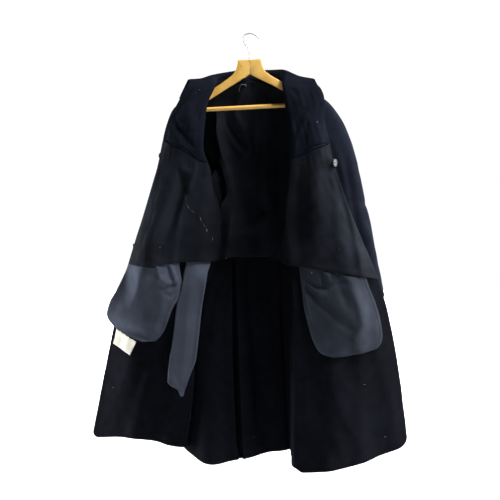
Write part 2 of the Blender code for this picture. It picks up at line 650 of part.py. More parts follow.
def build_hanger(looks):
    middle = (HANGER_MIDDLE[0] * MM, 0.0, HANGER_MIDDLE[1] * MM)
    tilt = -math.radians(HANGER_TILT)
    for side, way in (("r", -1), ("l", 1)):
        flat = bpy.data.curves.new("hanger_arm_" + side, "CURVE")
        flat.dimensions = "2D"
        flat.fill_mode = "BOTH"
        flat.extrude = (HANGER_THICK / 2 - HANGER_EASE) * MM
        flat.bevel_depth = HANGER_EASE * MM
        flat.bevel_resolution = 2
        flat.offset = -HANGER_EASE * MM
        spline = flat.splines.new("POLY")
        spline.points.add(len(HANGER_HALF) - 1)
        for point, (x, z) in zip(spline.points, HANGER_HALF):
            point.co = (way * x * MM, z * MM, 0.0, 1.0)
        spline.use_cyclic_u = True
        obj = put("hanger_arm_" + side, flat, looks["wood"])
        obj.location = middle
        obj.rotation_mode = "QUATERNION"
        obj.rotation_quaternion = turn_quaternion(tilt)

    mesh = bpy.data.meshes.new("hanger_bar")
    shape = bmesh.new()
    bmesh.ops.create_cone(shape, cap_ends=True, segments=20, radius1=BAR_RADIUS * MM, radius2=BAR_RADIUS * MM, depth=2 * BAR_HALF * MM)
    shape.to_mesh(mesh)
    shape.free()
    bar = put("hanger_bar", mesh, looks["wood"])
    bar.location = (
        middle[0] + BAR_LEVEL * MM * math.sin(math.radians(-HANGER_TILT)),
        0.0,
        middle[2] + BAR_LEVEL * MM * math.cos(math.radians(HANGER_TILT)),
    )
    bar.rotation_euler = (0.0, math.radians(90 - HANGER_TILT), 0.0)

    wire = bpy.data.curves.new("hanger_hook", "CURVE")
    wire.dimensions = "3D"
    path = np.array(HOOK, float)
    run = np.concatenate([[0], np.cumsum(np.linalg.norm(np.diff(path, axis=0), axis=-1))])
    places = np.linspace(0, run[-1], 30)
    full = np.stack([path[:, 0], 0 * path[:, 0], path[:, 1]], axis=-1)
    points = smooth(run, np.repeat(full[:, None], len(places), axis=1), places)
    spline = wire.splines.new("POLY")
    spline.points.add(len(points) - 1)
    for point, place in zip(spline.points, points):
        point.co = (*(place * MM), 1.0)
    wire.bevel_depth = HOOK_RADIUS * MM
    wire.bevel_resolution = 2
    wire.use_fill_caps = True
    put("hanger_hook", wire, looks["steel"])


def turn_quaternion(tilt):
    """Upright from the drawing's plane, then tilted about Y."""
    from mathutils import Quaternion

    return Quaternion((0, 1, 0), tilt) @ Quaternion((1, 0, 0), math.radians(90))


def main():
    for obj in list(bpy.data.objects):
        bpy.data.objects.remove(obj, do_unlink=True)
    home = bpy.data.collections.new(COLLECTION)
    bpy.context.scene.collection.children.link(home)
    datum = bpy.data.objects.new("drawing_datum", None)
    datum.location = tuple(a * MM for a in DATUM)
    home.objects.link(datum)
    looks = {
        "melton": material("navy_melton", (0.013, 0.016, 0.026), 0.9),
        "melton_inside": material("navy_melton_inside", (0.011, 0.013, 0.021), 0.9),
        "lining": material("black_lining", (0.008, 0.009, 0.012), 0.7),
        "satin": material("black_satin", (0.008, 0.009, 0.012), 0.35),
        "welt": material("welt_cloth", (0.012, 0.014, 0.02), 0.8),
        "drill": material("grey_drill", (0.05, 0.057, 0.075), 0.85),
        "tab": material("cream_tab", (0.85, 0.84, 0.76), 0.8),
        "tape": material("grey_tape", (0.25, 0.27, 0.3), 0.8),
        "horn": material("dark_button", (0.012, 0.012, 0.014), 0.35),
        "wood": material("beech", (0.75, 0.48, 0.2), 0.45),
        "steel": material("steel_wire", (0.6, 0.6, 0.62), 0.25, 1.0),
    }
    build_hanger(looks)
    build_panels(looks)
    build_sleeves(looks)
    build_collar(looks)
    build_inside(looks)
    build_buttons(looks)
    build_loop(looks)


main()
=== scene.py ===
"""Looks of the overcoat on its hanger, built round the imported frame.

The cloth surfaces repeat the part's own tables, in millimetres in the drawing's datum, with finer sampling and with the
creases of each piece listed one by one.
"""

import math

import bmesh
import bpy
import numpy as np
from mathutils import Matrix, Vector


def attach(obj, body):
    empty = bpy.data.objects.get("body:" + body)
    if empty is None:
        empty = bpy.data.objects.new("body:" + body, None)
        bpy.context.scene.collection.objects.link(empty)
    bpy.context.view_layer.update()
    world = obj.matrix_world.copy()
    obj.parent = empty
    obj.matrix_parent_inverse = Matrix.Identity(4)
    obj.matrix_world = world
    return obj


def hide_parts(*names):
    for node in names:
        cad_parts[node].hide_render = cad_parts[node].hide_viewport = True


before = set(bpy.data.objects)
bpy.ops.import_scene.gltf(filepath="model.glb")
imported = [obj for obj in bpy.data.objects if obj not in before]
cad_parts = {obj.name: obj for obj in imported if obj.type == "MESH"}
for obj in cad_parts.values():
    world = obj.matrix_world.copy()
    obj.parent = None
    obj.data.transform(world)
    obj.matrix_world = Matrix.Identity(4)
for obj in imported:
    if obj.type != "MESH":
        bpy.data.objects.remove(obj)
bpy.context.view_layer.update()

MM = 0.001
DATUM = (3.0, 0.0, 15.0)

# Cloth walls, and the air between layers.
MELTON, FACING, COLLAR, LINING, SATIN, DRILL, TAB = 2.5, 2.0, 3.0, 1.2, 1.0, 2.6, 0.8
LAYER_GAP, BAG_GAP, SEAM_GAP = 2.0, 3.4, 0.5
LINING_LIFT = 8.0  # how far the lining's free hem stands off the cloth behind it

# Front panels, one row per section. drop: length down the cloth. s: armhole edge, then side seam.
# f: the fold where the front turns back, of radius r. e: the free front edge.
# dip: how far the cloth just past the fold hangs down. bow, sag: how far the middle of the
# turned-back part stands forward, and hangs down.
FRONT_COLUMNS = "drop sx sy sz fx fy fz r dip bow sag ex ey ez"
FRONT = {
    "r": [
        (0, -226, -2, -241, -107, -12, -172, 6, 0, 0, 0, -187, -28, -166),
        (12, -226, -16, -251, -116, -21, -190, 8, 0, 2, 0, -199, -36, -183),
        (50, -212, -28, -300, -131, -30, -227, 10, 0, 4, 0, -220, -44, -226),
        (115, -190, -34, -345, -143, -45, -290, 12, 0, 6, 0, -254, -54, -291),
        (180, -165, -30, -410, -149, -58, -362, 14, 0, 6, 0, -270, -58, -349),
        (262, -128, 4, -480, -134, -50, -439, 24, 0, 4, 0, -290, -56, -439),
        (285, -124, 9, -497, -139, -50, -462, 28, 0, 4, 0, -297, -56, -462),
        (402, -98, 28, -590, -158, -45, -580, 50, 0, 6, 0, -333, -50, -579),
        (555, -112, 28, -735, -172, -38, -730, 50, 0, 8, 0, -384, -35, -733),
        (718, -176, 18, -892, -173, -36, -891, 22, 0, 12, 0, -433, 0, -898),
        (985, -214, 18, -1160, -185, -34, -1155, 12, 0, 16, 4, -502, 50, -1180),
        (1165, -238, 30, -1350, -206, -30, -1340, 10, 0, 14, -24, -543, 90, -1351),
    ],
    "l": [
        (0, 226, -2, -218, 101, -12, -160, 6, 0, 0, 0, 196, -28, -166),
        (12, 226, -16, -228, 103, -21, -176, 8, 0, 2, 0, 218, -36, -185),
        (50, 212, -28, -285, 106, -30, -206, 10, 0, 4, 0, 230, -42, -220),
        (115, 198, -34, -335, 118, -46, -278, 12, 0, 6, 0, 232, -54, -285),
        (180, 184, -30, -405, 127, -64, -362, 14, 0, 6, 0, 245, -62, -356),
        (262, 176, 15, -485, 127, -72, -433, 14, 0, 6, 0, 264, -66, -439),
        (285, 173, 20, -501, 125, -73, -456, 14, 0, 6, 0, 271, -66, -461),
        (402, 150, 38, -585, 112, -74, -572, 14, 0, 8, 0, 313, -62, -573),
        (555, 104, 38, -737, 134, -78, -725, 14, 0, 12, 0, 384, -45, -732),
        (718, 110, 28, -900, 137, -96, -880, 16, 0, 24, 4, 447, -10, -896),
        (985, 122, 6, -1162, 141, -118, -1130, 18, 6, 30, 8, 505, 25, -1172),
        (1165, 133, -10, -1358, 141, -135, -1370, 20, 16, 25, 9, 534, 50, -1362),
    ],
}
FRONT_U = (0.0, 0.25, 0.285, 0.32, 0.66, 1.0)  # s, into the fold, f, out of it, middle, e
FOLD_U = FRONT_U[2]

# Half backs. c: centre back seam. m: neck point, then mid panel. s: armhole edge, then side seam.
BACK_COLUMNS = "drop cx cy cz mx my mz sx sy sz"
BACK = {
    "r": [
        (0, 3, 42, -148, -108, 6, -171, -226, 2, -241),
        (12, 3, 46, -160, -110, 22, -187, -226, 16, -251),
        (50, 3, 55, -205, -108, 50, -235, -186, 46, -300),
        (115, 3, 62, -275, -78, 63, -300, -138, 58, -345),
        (180, 3, 66, -345, -60, 66, -370, -110, 54, -410),
        (262, 2, 65, -440, -58, 58, -455, -128, 4, -480),
        (285, 2, 65, -464, -57, 57, -477, -124, 9, -497),
        (402, 0, 60, -585, -48, 50, -587, -98, 28, -590),
        (555, -8, 52, -737, -58, 42, -736, -112, 28, -735),
        (718, -4, 34, -900, -92, 4, -896, -176, 18, -892),
        (985, 6, 2, -1165, -108, -38, -1163, -214, 18, -1160),
        (1165, 16, -25, -1374, -118, -75, -1383, -238, 30, -1350),
    ],
    "l": [
        (0, 3, 42, -148, 104, 6, -159, 226, 2, -218),
        (12, 3, 46, -160, 106, 22, -175, 226, 16, -228),
        (50, 3, 55, -205, 106, 48, -222, 206, 42, -285),
        (115, 3, 62, -275, 96, 60, -292, 188, 52, -335),
        (180, 3, 66, -345, 90, 65, -365, 176, 54, -405),
        (262, 2, 65, -440, 86, 66, -450, 176, 15, -485),
        (285, 2, 65, -464, 84, 66, -472, 173, 20, -501),
        (402, 0, 60, -585, 76, 62, -585, 150, 38, -585),
        (555, -8, 52, -737, 50, 52, -737, 104, 38, -737),
        (718, -4, 34, -900, 54, 40, -900, 110, 28, -900),
        (985, 6, 2, -1165, 64, 20, -1164, 122, 6, -1162),
        (1165, 16, -25, -1374, 76, 2, -1366, 133, -10, -1358),
    ],
}
BACK_U = (0.0, 0.45, 1.0)
UNDERARM = 262  # the drop at which front and back meet below the armhole

# Largest soft folds: across the panel at u (running on to u_low), from drop top to drop low,
# half as wide as width (in u), deep forward (+, to the wearer) or back (-).
FOLD_COLUMNS = "panel u u_low top low width deep"
FOLDS = [
    ("front_l", 0.50, 0.46, 560, 1300, 0.10, 12),
    ("front_l", 0.78, 0.80, 640, 1300, 0.10, -10),
    ("front_r", 0.72, 0.70, 600, 1300, 0.10, 10),
    ("front_r", 0.52, 0.50, 700, 1300, 0.07, -8),
    ("back_r", 0.30, 0.22, 600, 1300, 0.14, -10),
    ("back_l", 0.55, 0.60, 600, 1300, 0.18, 8),
]

# Sleeves below the head: level and middle of each ring, half width across, half depth.
SLEEVE_COLUMNS = "cx cy cz across deep"
SLEEVE = {
    "r": [
        (-205, 36, -535, 78, 50),
        (-226, 44, -640, 76, 48),
        (-247, 50, -740, 74, 46),
        (-278, 56, -850, 72, 43),
    ],
    "l": [
        (279, 10, -535, 84, 52),
        (309, 14, -640, 80, 50),
        (336, 20, -740, 76, 47),
        (366, 27, -850, 73, 43),
    ],
}

SLEEVE_HEAD = {"r": 0.62, "l": 0.80}  # how roundly the head stands out before it falls

# Collar from the wearer's right end to the left: the roll, and the edge of the fall behind it.
COLLAR_COLUMNS = "rx ry rz lx ly lz"
COLLAR_ROWS = [
    (-189, -20, -158, -226, 18, -212),
    (-157, -12, -155, -192, 36, -212),
    (-122, 0, -143, -150, 56, -206),
    (-106, 12, -138, -122, 68, -203),
    (-62, 31, -128, -76, 84, -197),
    (0, 47, -117, 0, 92, -190),
    (56, 31, -123, 72, 84, -191),
    (98, 12, -124, 116, 68, -195),
    (112, 0, -128, 142, 56, -198),
    (157, -12, -148, 190, 36, -200),
    (197, -20, -156, 232, 18, -200),
]

# Where the facing ends and the lining starts: places across the front, and the drop at each.
POCKET_LINE = {
    "r": ((0.285, 0.325, 0.38, 0.50, 0.59, 0.71, 0.80, 0.96, 1.0), (238, 229, 217, 206, 201, 193, 188, 176, 174)),
    "l": ((0.285, 0.35, 0.46, 0.60, 0.72, 0.87, 1.0), (226, 220, 211, 202, 195, 188, 180)),
}
# The lining's hem: its drop at the side seam, the fold, the middle and the front edge.
LINING_HEM = {"r": (550, 553, 562, 555), "l": (550, 567, 582, 606)}
BACK_LINING_HEM = 540

# Pocket bags, laid on the fronts: a row per level, with the inner and outer edge there.
BAG_COLUMNS = "z inner outer"
BAGS = {
    "r": [
        (-712, -206, -378),
        (-742, -204, -388),
        (-810, -222, -420),
        (-865, -243, -452),
        (-904, -256, -462),
        (-938, -268, -444),
        (-962, -281, -392),
        (-981, -300, -335),
    ],
    "l": [
        (-705, 152, 334),
        (-726, 152, 338),
        (-798, 160, 362),
        (-862, 168, 389),
        (-917, 180, 408),
        (-969, 195, 415),
        (-1004, 215, 396),
        (-1019, 250, 300),
    ],
}
# The long narrow bag hangs free from under the lining.
BATON_COLUMNS = "z left right y"
BATON = [
    (-700, -190, -124, -40),
    (-731, -193, -130, -44),
    (-804, -208, -141, -50),
    (-870, -233, -152, -54),
    (-940, -242, -160, -57),
    (-1004, -250, -167, -60),
    (-1040, -257, -172, -61),
    (-1091, -262, -191, -63),
    (-1111, -263, -198, -64),
    (-1126, -251, -203, -64),
    (-1137, -230, -208, -65),
    (-1158, -221, -214, -65),
]

# Welts of the outer pockets: level and ends.
POCKET_WELT = {"r": (-672, -230, -372), "l": (-668, 190, 340)}
POCKET_WELT_HIGH = 30

BUTTON_RADIUS, BUTTON_THICK, SHANK_RADIUS, SHANK_LONG = 12.5, 3.6, 3.0, 4.0
BUTTON_COLUMNS = "drop u inset turn"  # where the shank stands on the front, and which way the button faces in plan
BUTTONS = {"r": (222, 0.957, -2.6, 97), "l": (240, 0.985, 5.5, -38)}
BUTTON_OFF = 4.2  # from the cloth to the foot of the shank

VENT_WIDE, VENT_TOP = 44, 518

# Hanger, in its own upright frame: a half outline, then the tilt it hangs at.
HANGER_MIDDLE = (-2.5, -94.0)
HANGER_TILT = 3.0
HANGER_THICK = 12.0
HANGER_EASE = 2.0  # rounding of the wood's edges
HANGER_HALF = [
    (0.3, 0), (36, 0), (42, -28), (53, -43), (68, -54), (105, -77), (160, -107), (208, -133),
    (214, -142), (206, -155), (150, -127), (80, -88.7), (0.3, -45),
]
BAR_LEVEL, BAR_HALF, BAR_RADIUS = -143.0, 164.0, 6.5
HOOK_RADIUS = 2.0
HOOK = [
    (-2.5, -92.5), (-2.2, -72), (-6, -60), (-18, -43), (-21.3, -29), (-15.5, -17.5), (-3, -13), (9.5, -15), (20, -22), (28.5, -31),
]


def slopes(knots, values):
    """Slopes of a curve that never overshoots the rows of its table."""
    step = np.diff(knots)[:, None, None]
    rise = np.diff(values, axis=0) / step
    out = np.zeros_like(values)
    out[0], out[-1] = rise[0], rise[-1]
    before, after = rise[:-1], rise[1:]
    wa, wb = 2 * step[1:] + step[:-1], step[1:] + 2 * step[:-1]
    same = before * after > 0
    safe_before, safe_after = np.where(same, before, 1.0), np.where(same, after, 1.0)
    out[1:-1] = np.where(same, (wa + wb) / (wa / safe_before + wb / safe_after), 0.0)
    return out


def smooth(knots, values, at):
    """values (rows, points, 3) on knots, read at one place per point; straight beyond the ends."""
    knots = np.asarray(knots, float)
    at = np.asarray(at, float)
    slope = slopes(knots, values)
    row = np.clip(np.searchsorted(knots, at, side="right") - 1, 0, len(knots) - 2)
    point = np.arange(len(at))
    step = knots[row + 1] - knots[row]
    inside = np.clip(at, knots[0], knots[-1])
    t = ((inside - knots[row]) / step)[:, None]
    a, b = values[row, point], values[row + 1, point]
    sa, sb = slope[row, point] * step[:, None], slope[row + 1, point] * step[:, None]
    out = (2 * t**3 - 3 * t**2 + 1) * a + (t**3 - 2 * t**2 + t) * sa + (3 * t**2 - 2 * t**3) * b + (t**3 - t**2) * sb
    past = (at - inside)[:, None]
    end = np.where(past < 0, slope[0, point], slope[-1, point])
    return out + past * end


def table(columns, rows):
    return {name: np.array([row[i] for row in rows], float) for i, name in enumerate(columns.split())}


def triple(columns, letter):
    return np.stack([columns[letter + axis] for axis in "xyz"], axis=-1)


def unit(vector):
    return vector / np.maximum(np.linalg.norm(vector, axis=-1, keepdims=True), 1e-9)


def front_net(side):
    """The control net of a front: s, into the fold, f, out of the fold, middle, e."""
    t = table(FRONT_COLUMNS, FRONT[side])
    s, f, e = triple(t, "s"), triple(t, "f"), triple(t, "e")
    flat = np.array([1.0, 1.0, 0.0])
    to_s, to_e = unit((s - f) * flat), unit((e - f) * flat)
    both = to_s + to_e
    close = np.linalg.norm(both, axis=-1, keepdims=True) / 2
    inward = unit(both)
    across = np.stack([-inward[:, 1], inward[:, 0], 0 * inward[:, 0]], axis=-1)
    across *= np.sign((across * to_s).sum(axis=-1, keepdims=True))
    r = t["r"][:, None]
    near, far = f + r * (0.9 * close * inward + across), f + r * (0.9 * close * inward - across)
    near[:, 2] += (s - f)[:, 2] * (r[:, 0] / np.linalg.norm(s - f, axis=-1)).clip(0, 0.6)
    far[:, 2] += (e - f)[:, 2] * (r[:, 0] / np.linalg.norm(e - f, axis=-1)).clip(0, 0.6)
    far[:, 2] -= t["dip"]
    middle = (far + e) / 2 - np.stack([0 * t["bow"], t["bow"], t["sag"]], axis=-1)
    return t["drop"], np.stack([s, near, f, far, middle, e])


def back_net(side):
    t = table(BACK_COLUMNS, BACK[side])
    return t["drop"], np.stack([triple(t, "c"), triple(t, "m"), triple(t, "s")])


NETS = {}
for _side in "rl":
    NETS["front_" + _side] = (FRONT_U,) + front_net(_side)
    NETS["back_" + _side] = (BACK_U,) + back_net(_side)


def bare(panel, u, v):
    across, drops, net = NETS[panel]
    stations, rows = net.shape[:2]
    flat = net.reshape(stations, 1, rows * 3)
    slope = slopes(np.asarray(across), flat)[:, 0]
    flat = flat[:, 0]
    k = np.clip(np.searchsorted(across, u, side="right") - 1, 0, stations - 2)
    step = np.diff(across)[k][:, None]
    inside = np.clip(u, across[0], across[-1])
    t = (inside - np.asarray(across)[k])[:, None] / step
    lines = (2 * t**3 - 3 * t**2 + 1) * flat[k] + (t**3 - 2 * t**2 + t) * slope[k] * step + (3 * t**2 - 2 * t**3) * flat[k + 1] + (t**3 - t**2) * slope[k + 1] * step
    past = (u - inside)[:, None]
    lines = lines + past * np.where(past < 0, slope[0], slope[-1])
    return smooth(drops, lines.reshape(len(u), rows, 3).transpose(1, 0, 2), v)


def step_up(low, high, x):
    t = np.clip((x - low) / (high - low), 0, 1)
    return t * t * (3 - 2 * t)


def fold_depth(panel, u, v):
    out = np.zeros(len(u))
    for name, fu, fu_low, top, low, width, deep in FOLDS:
        if name == panel:
            t = np.clip((v - top) / (low - top), 0, 1)
            middle = fu + (fu_low - fu) * t
            out += deep * step_up(top, top + 350, v) * np.exp(-(((u - middle) / width) ** 2))
    return out


def outward(panel, u, v):
    """Unit normals that point out of the coat."""
    du, dv = 0.004, 2.0
    along = bare(panel, u + du, v) - bare(panel, u - du, v)
    down = bare(panel, u, v + dv) - bare(panel, u, v - dv)
    return unit(np.cross(along, down)) * (1 if panel.endswith("_l") else -1)


def cloth_at(panel, u, v, inset=0.0):
    """Points on the panel's inner face, moved inset millimetres towards the wearer."""
    u, v = np.broadcast_arrays(np.asarray(u, float), np.asarray(v, float))
    shape = u.shape
    u, v = u.ravel(), v.ravel()
    inset = np.broadcast_to(np.asarray(inset, float), shape).ravel()
    points = bare(panel, u, v) - outward(panel, u, v) * (fold_depth(panel, u, v) + inset)[:, None]
    return points.reshape(shape + (3,))


def seat(panel, x, z, first):
    """The u and v of the panel at x and z, searched from u = first on."""
    x, z = np.broadcast_arrays(np.asarray(x, float), np.asarray(z, float))
    shape = x.shape
    x, z = x.ravel(), z.ravel()
    us, vs = np.linspace(first, 1.16, 60), np.linspace(-40.0, 1300.0, 202)
    net = bare(panel, np.tile(us, len(vs)), np.repeat(vs, len(us))).reshape(len(vs), len(us), 3)
    v = -z - 180.0
    for _ in range(12):
        k = np.clip((v - vs[0]) / (vs[1] - vs[0]), 0, len(vs) - 1.001)
        j = k.astype(int)
        t = (k - j)[:, None, None]
        lines = net[j] * (1 - t) + net[j + 1] * t
        sign = np.sign(lines[:, -1, 0] - lines[:, 0, 0])
        u = np.array([np.interp(a * s, line[:, 0] * s, us) for a, s, line in zip(x, sign, lines)])
        v = v + (bare(panel, u, v)[:, 2] - z)
    return u.reshape(shape), v.reshape(shape)


def pocket_line(side, u):
    return np.interp(u, *POCKET_LINE[side])


def lining_hem(side, u):
    return np.interp(u, (0, FOLD_U, 0.66, 1.0), LINING_HEM[side])


def lift(v, hem):
    return LAYER_GAP + 0.2 + LINING_LIFT * step_up(hem - 170, hem - 30, v)


def armhole(side, count):
    """The armhole's loop, from the shoulder down the front, under the arm and up the back, and the way out of the coat along it."""
    down = np.linspace(0, UNDERARM, 60)
    edges = [("front_" + side, 0 * down, down), ("back_" + side, 0 * down + 1, down[::-1])]
    front, back = (bare(*edge) for edge in edges)
    out_front, out_back = (outward(*edge) for edge in edges)
    loop = np.concatenate([front, back[1:]])
    out = np.concatenate([out_front, out_back[1:]])
    loop[0] = loop[-1] = (front[0] + back[-1]) / 2
    out[0] = out[-1] = out_front[0] + out_back[-1]
    out[59] = out_front[-1] + out_back[0]
    for _ in range(6):  # ease the turn at the shoulder and under the arm
        ring = np.concatenate([out[-2:-1], out, out[1:2]])
        out = unit(ring[:-2] + 2 * out + ring[2:])
    run = np.concatenate([[0], np.cumsum(np.linalg.norm(np.diff(loop, axis=0), axis=-1))])
    under = run[59]
    part = np.linspace(0, 1, count + 1)
    at = np.where(part < 0.5, part * 2 * under, under + (part - 0.5) * 2 * (run[-1] - under))
    return part, *(np.stack([np.interp(at, run, line[:, k]) for k in range(3)], axis=-1) for line in (loop, unit(out)))


def sleeve_rings(side, count, head=6, per=2):
    """Rings of a sleeve, from the armhole's loop down to the cuff."""
    way = 1 if side == "l" else -1
    part, loop, lap = armhole(side, count)
    angle = 2 * math.pi * part
    t = table(SLEEVE_COLUMNS, SLEEVE[side])

    def ring(cx, cy, cz, across, deep):
        return np.stack([cx + way * across * np.cos(angle), cy - deep * np.sin(angle), cz + 0 * angle], axis=-1)

    rings = [ring(*row) for row in SLEEVE[side]]
    out = unit(np.stack([way * (0.75 + 0.25 * np.cos(angle)), -0.25 * np.sin(angle), -0.75 + 0.15 * np.cos(angle)], axis=-1))
    start = loop + lap * (MELTON + SEAM_GAP + 1.8)
    reach = np.linalg.norm(rings[0] - start, axis=-1, keepdims=True)
    leave = out * reach * SLEEVE_HEAD[side]
    arrive = unit(rings[1] - rings[0]) * reach * 0.95
    rows = []
    for h in np.linspace(0, 1, head + 1)[:-1]:
        rows.append((2 * h**3 - 3 * h**2 + 1) * start + (h**3 - 2 * h**2 + h) * leave + (3 * h**2 - 2 * h**3) * rings[0] + (h**3 - h**2) * arrive)
    levels = np.arange(len(rings), dtype=float)
    stack = np.stack(rings)
    for level in np.linspace(0, len(rings) - 1, (len(rings) - 1) * per + 1):
        rows.append(smooth(levels, stack, level + 0 * angle))
    return np.stack(rows)


def ring_inset(rings, inset, way):
    """Each point of the rings moved in towards the sleeve's hollow."""
    closed = np.concatenate([rings[:, -2:-1], rings, rings[:, 1:2]], axis=1)
    along = closed[:, 2:] - closed[:, :-2]
    down = np.gradient(rings, axis=0)
    return rings - unit(np.cross(along, down)) * way * inset


def collar_points(count=21):
    """Rows from the seam over the roll to the edge of the fall; columns from end to end."""
    t = table(COLLAR_COLUMNS, COLLAR_ROWS)
    roll, edge = triple(t, "r"), triple(t, "l")
    fronts = (1.0, 0.66, 0.34)
    seam = np.concatenate([
        bare("front_r", np.array(fronts), np.zeros(3)),
        bare("back_r", np.array([0.43, 0.22, 0.0]), np.zeros(3)),
        bare("back_l", np.array([0.22, 0.43]), np.zeros(2)),
        bare("front_l", np.array(fronts[::-1]), np.zeros(3)),
    ])
    seam[:, 2] += 2.5
    behind = unit((edge - roll) * np.array([1.0, 1.0, 0.0]))
    crown = roll + behind * 7.0 + np.array([0, 0, 1.5])
    over = roll + behind * 15.0 + np.array([0, 0, -7.0])
    low = roll * 0.45 + edge * 0.55 + behind * 5.0
    stand = (seam + roll) / 2 + np.array([0, 1.5, 0])
    profile = np.stack([seam, stand, roll, crown, over, low, edge])
    stations = len(COLLAR_ROWS)
    places = np.linspace(0, stations - 1, count)
    return np.stack([smooth(np.arange(float(stations)), np.repeat(row[:, None], count, axis=1), places) for row in profile])




# ---- creases -------------------------------------------------------------------------------------------------

# The photograph's view in the drawing's datum, used to say where creases and lint are seen in its 500 x 500 frame.
EYE = np.array([0.0, -2400.0, -450.0])
PITCH = math.atan2(245.16, 2400.0)
FOCAL = 747.87


def seen(points):
    """Where the photograph's view shows points, in pixels."""
    d = points - EYE
    ahead = d[..., 1] * math.cos(PITCH) - d[..., 2] * math.sin(PITCH)
    up = d[..., 1] * math.sin(PITCH) + d[..., 2] * math.cos(PITCH)
    return np.stack([250 + FOCAL * d[..., 0] / ahead, 250 - FOCAL * up / ahead], axis=-1)


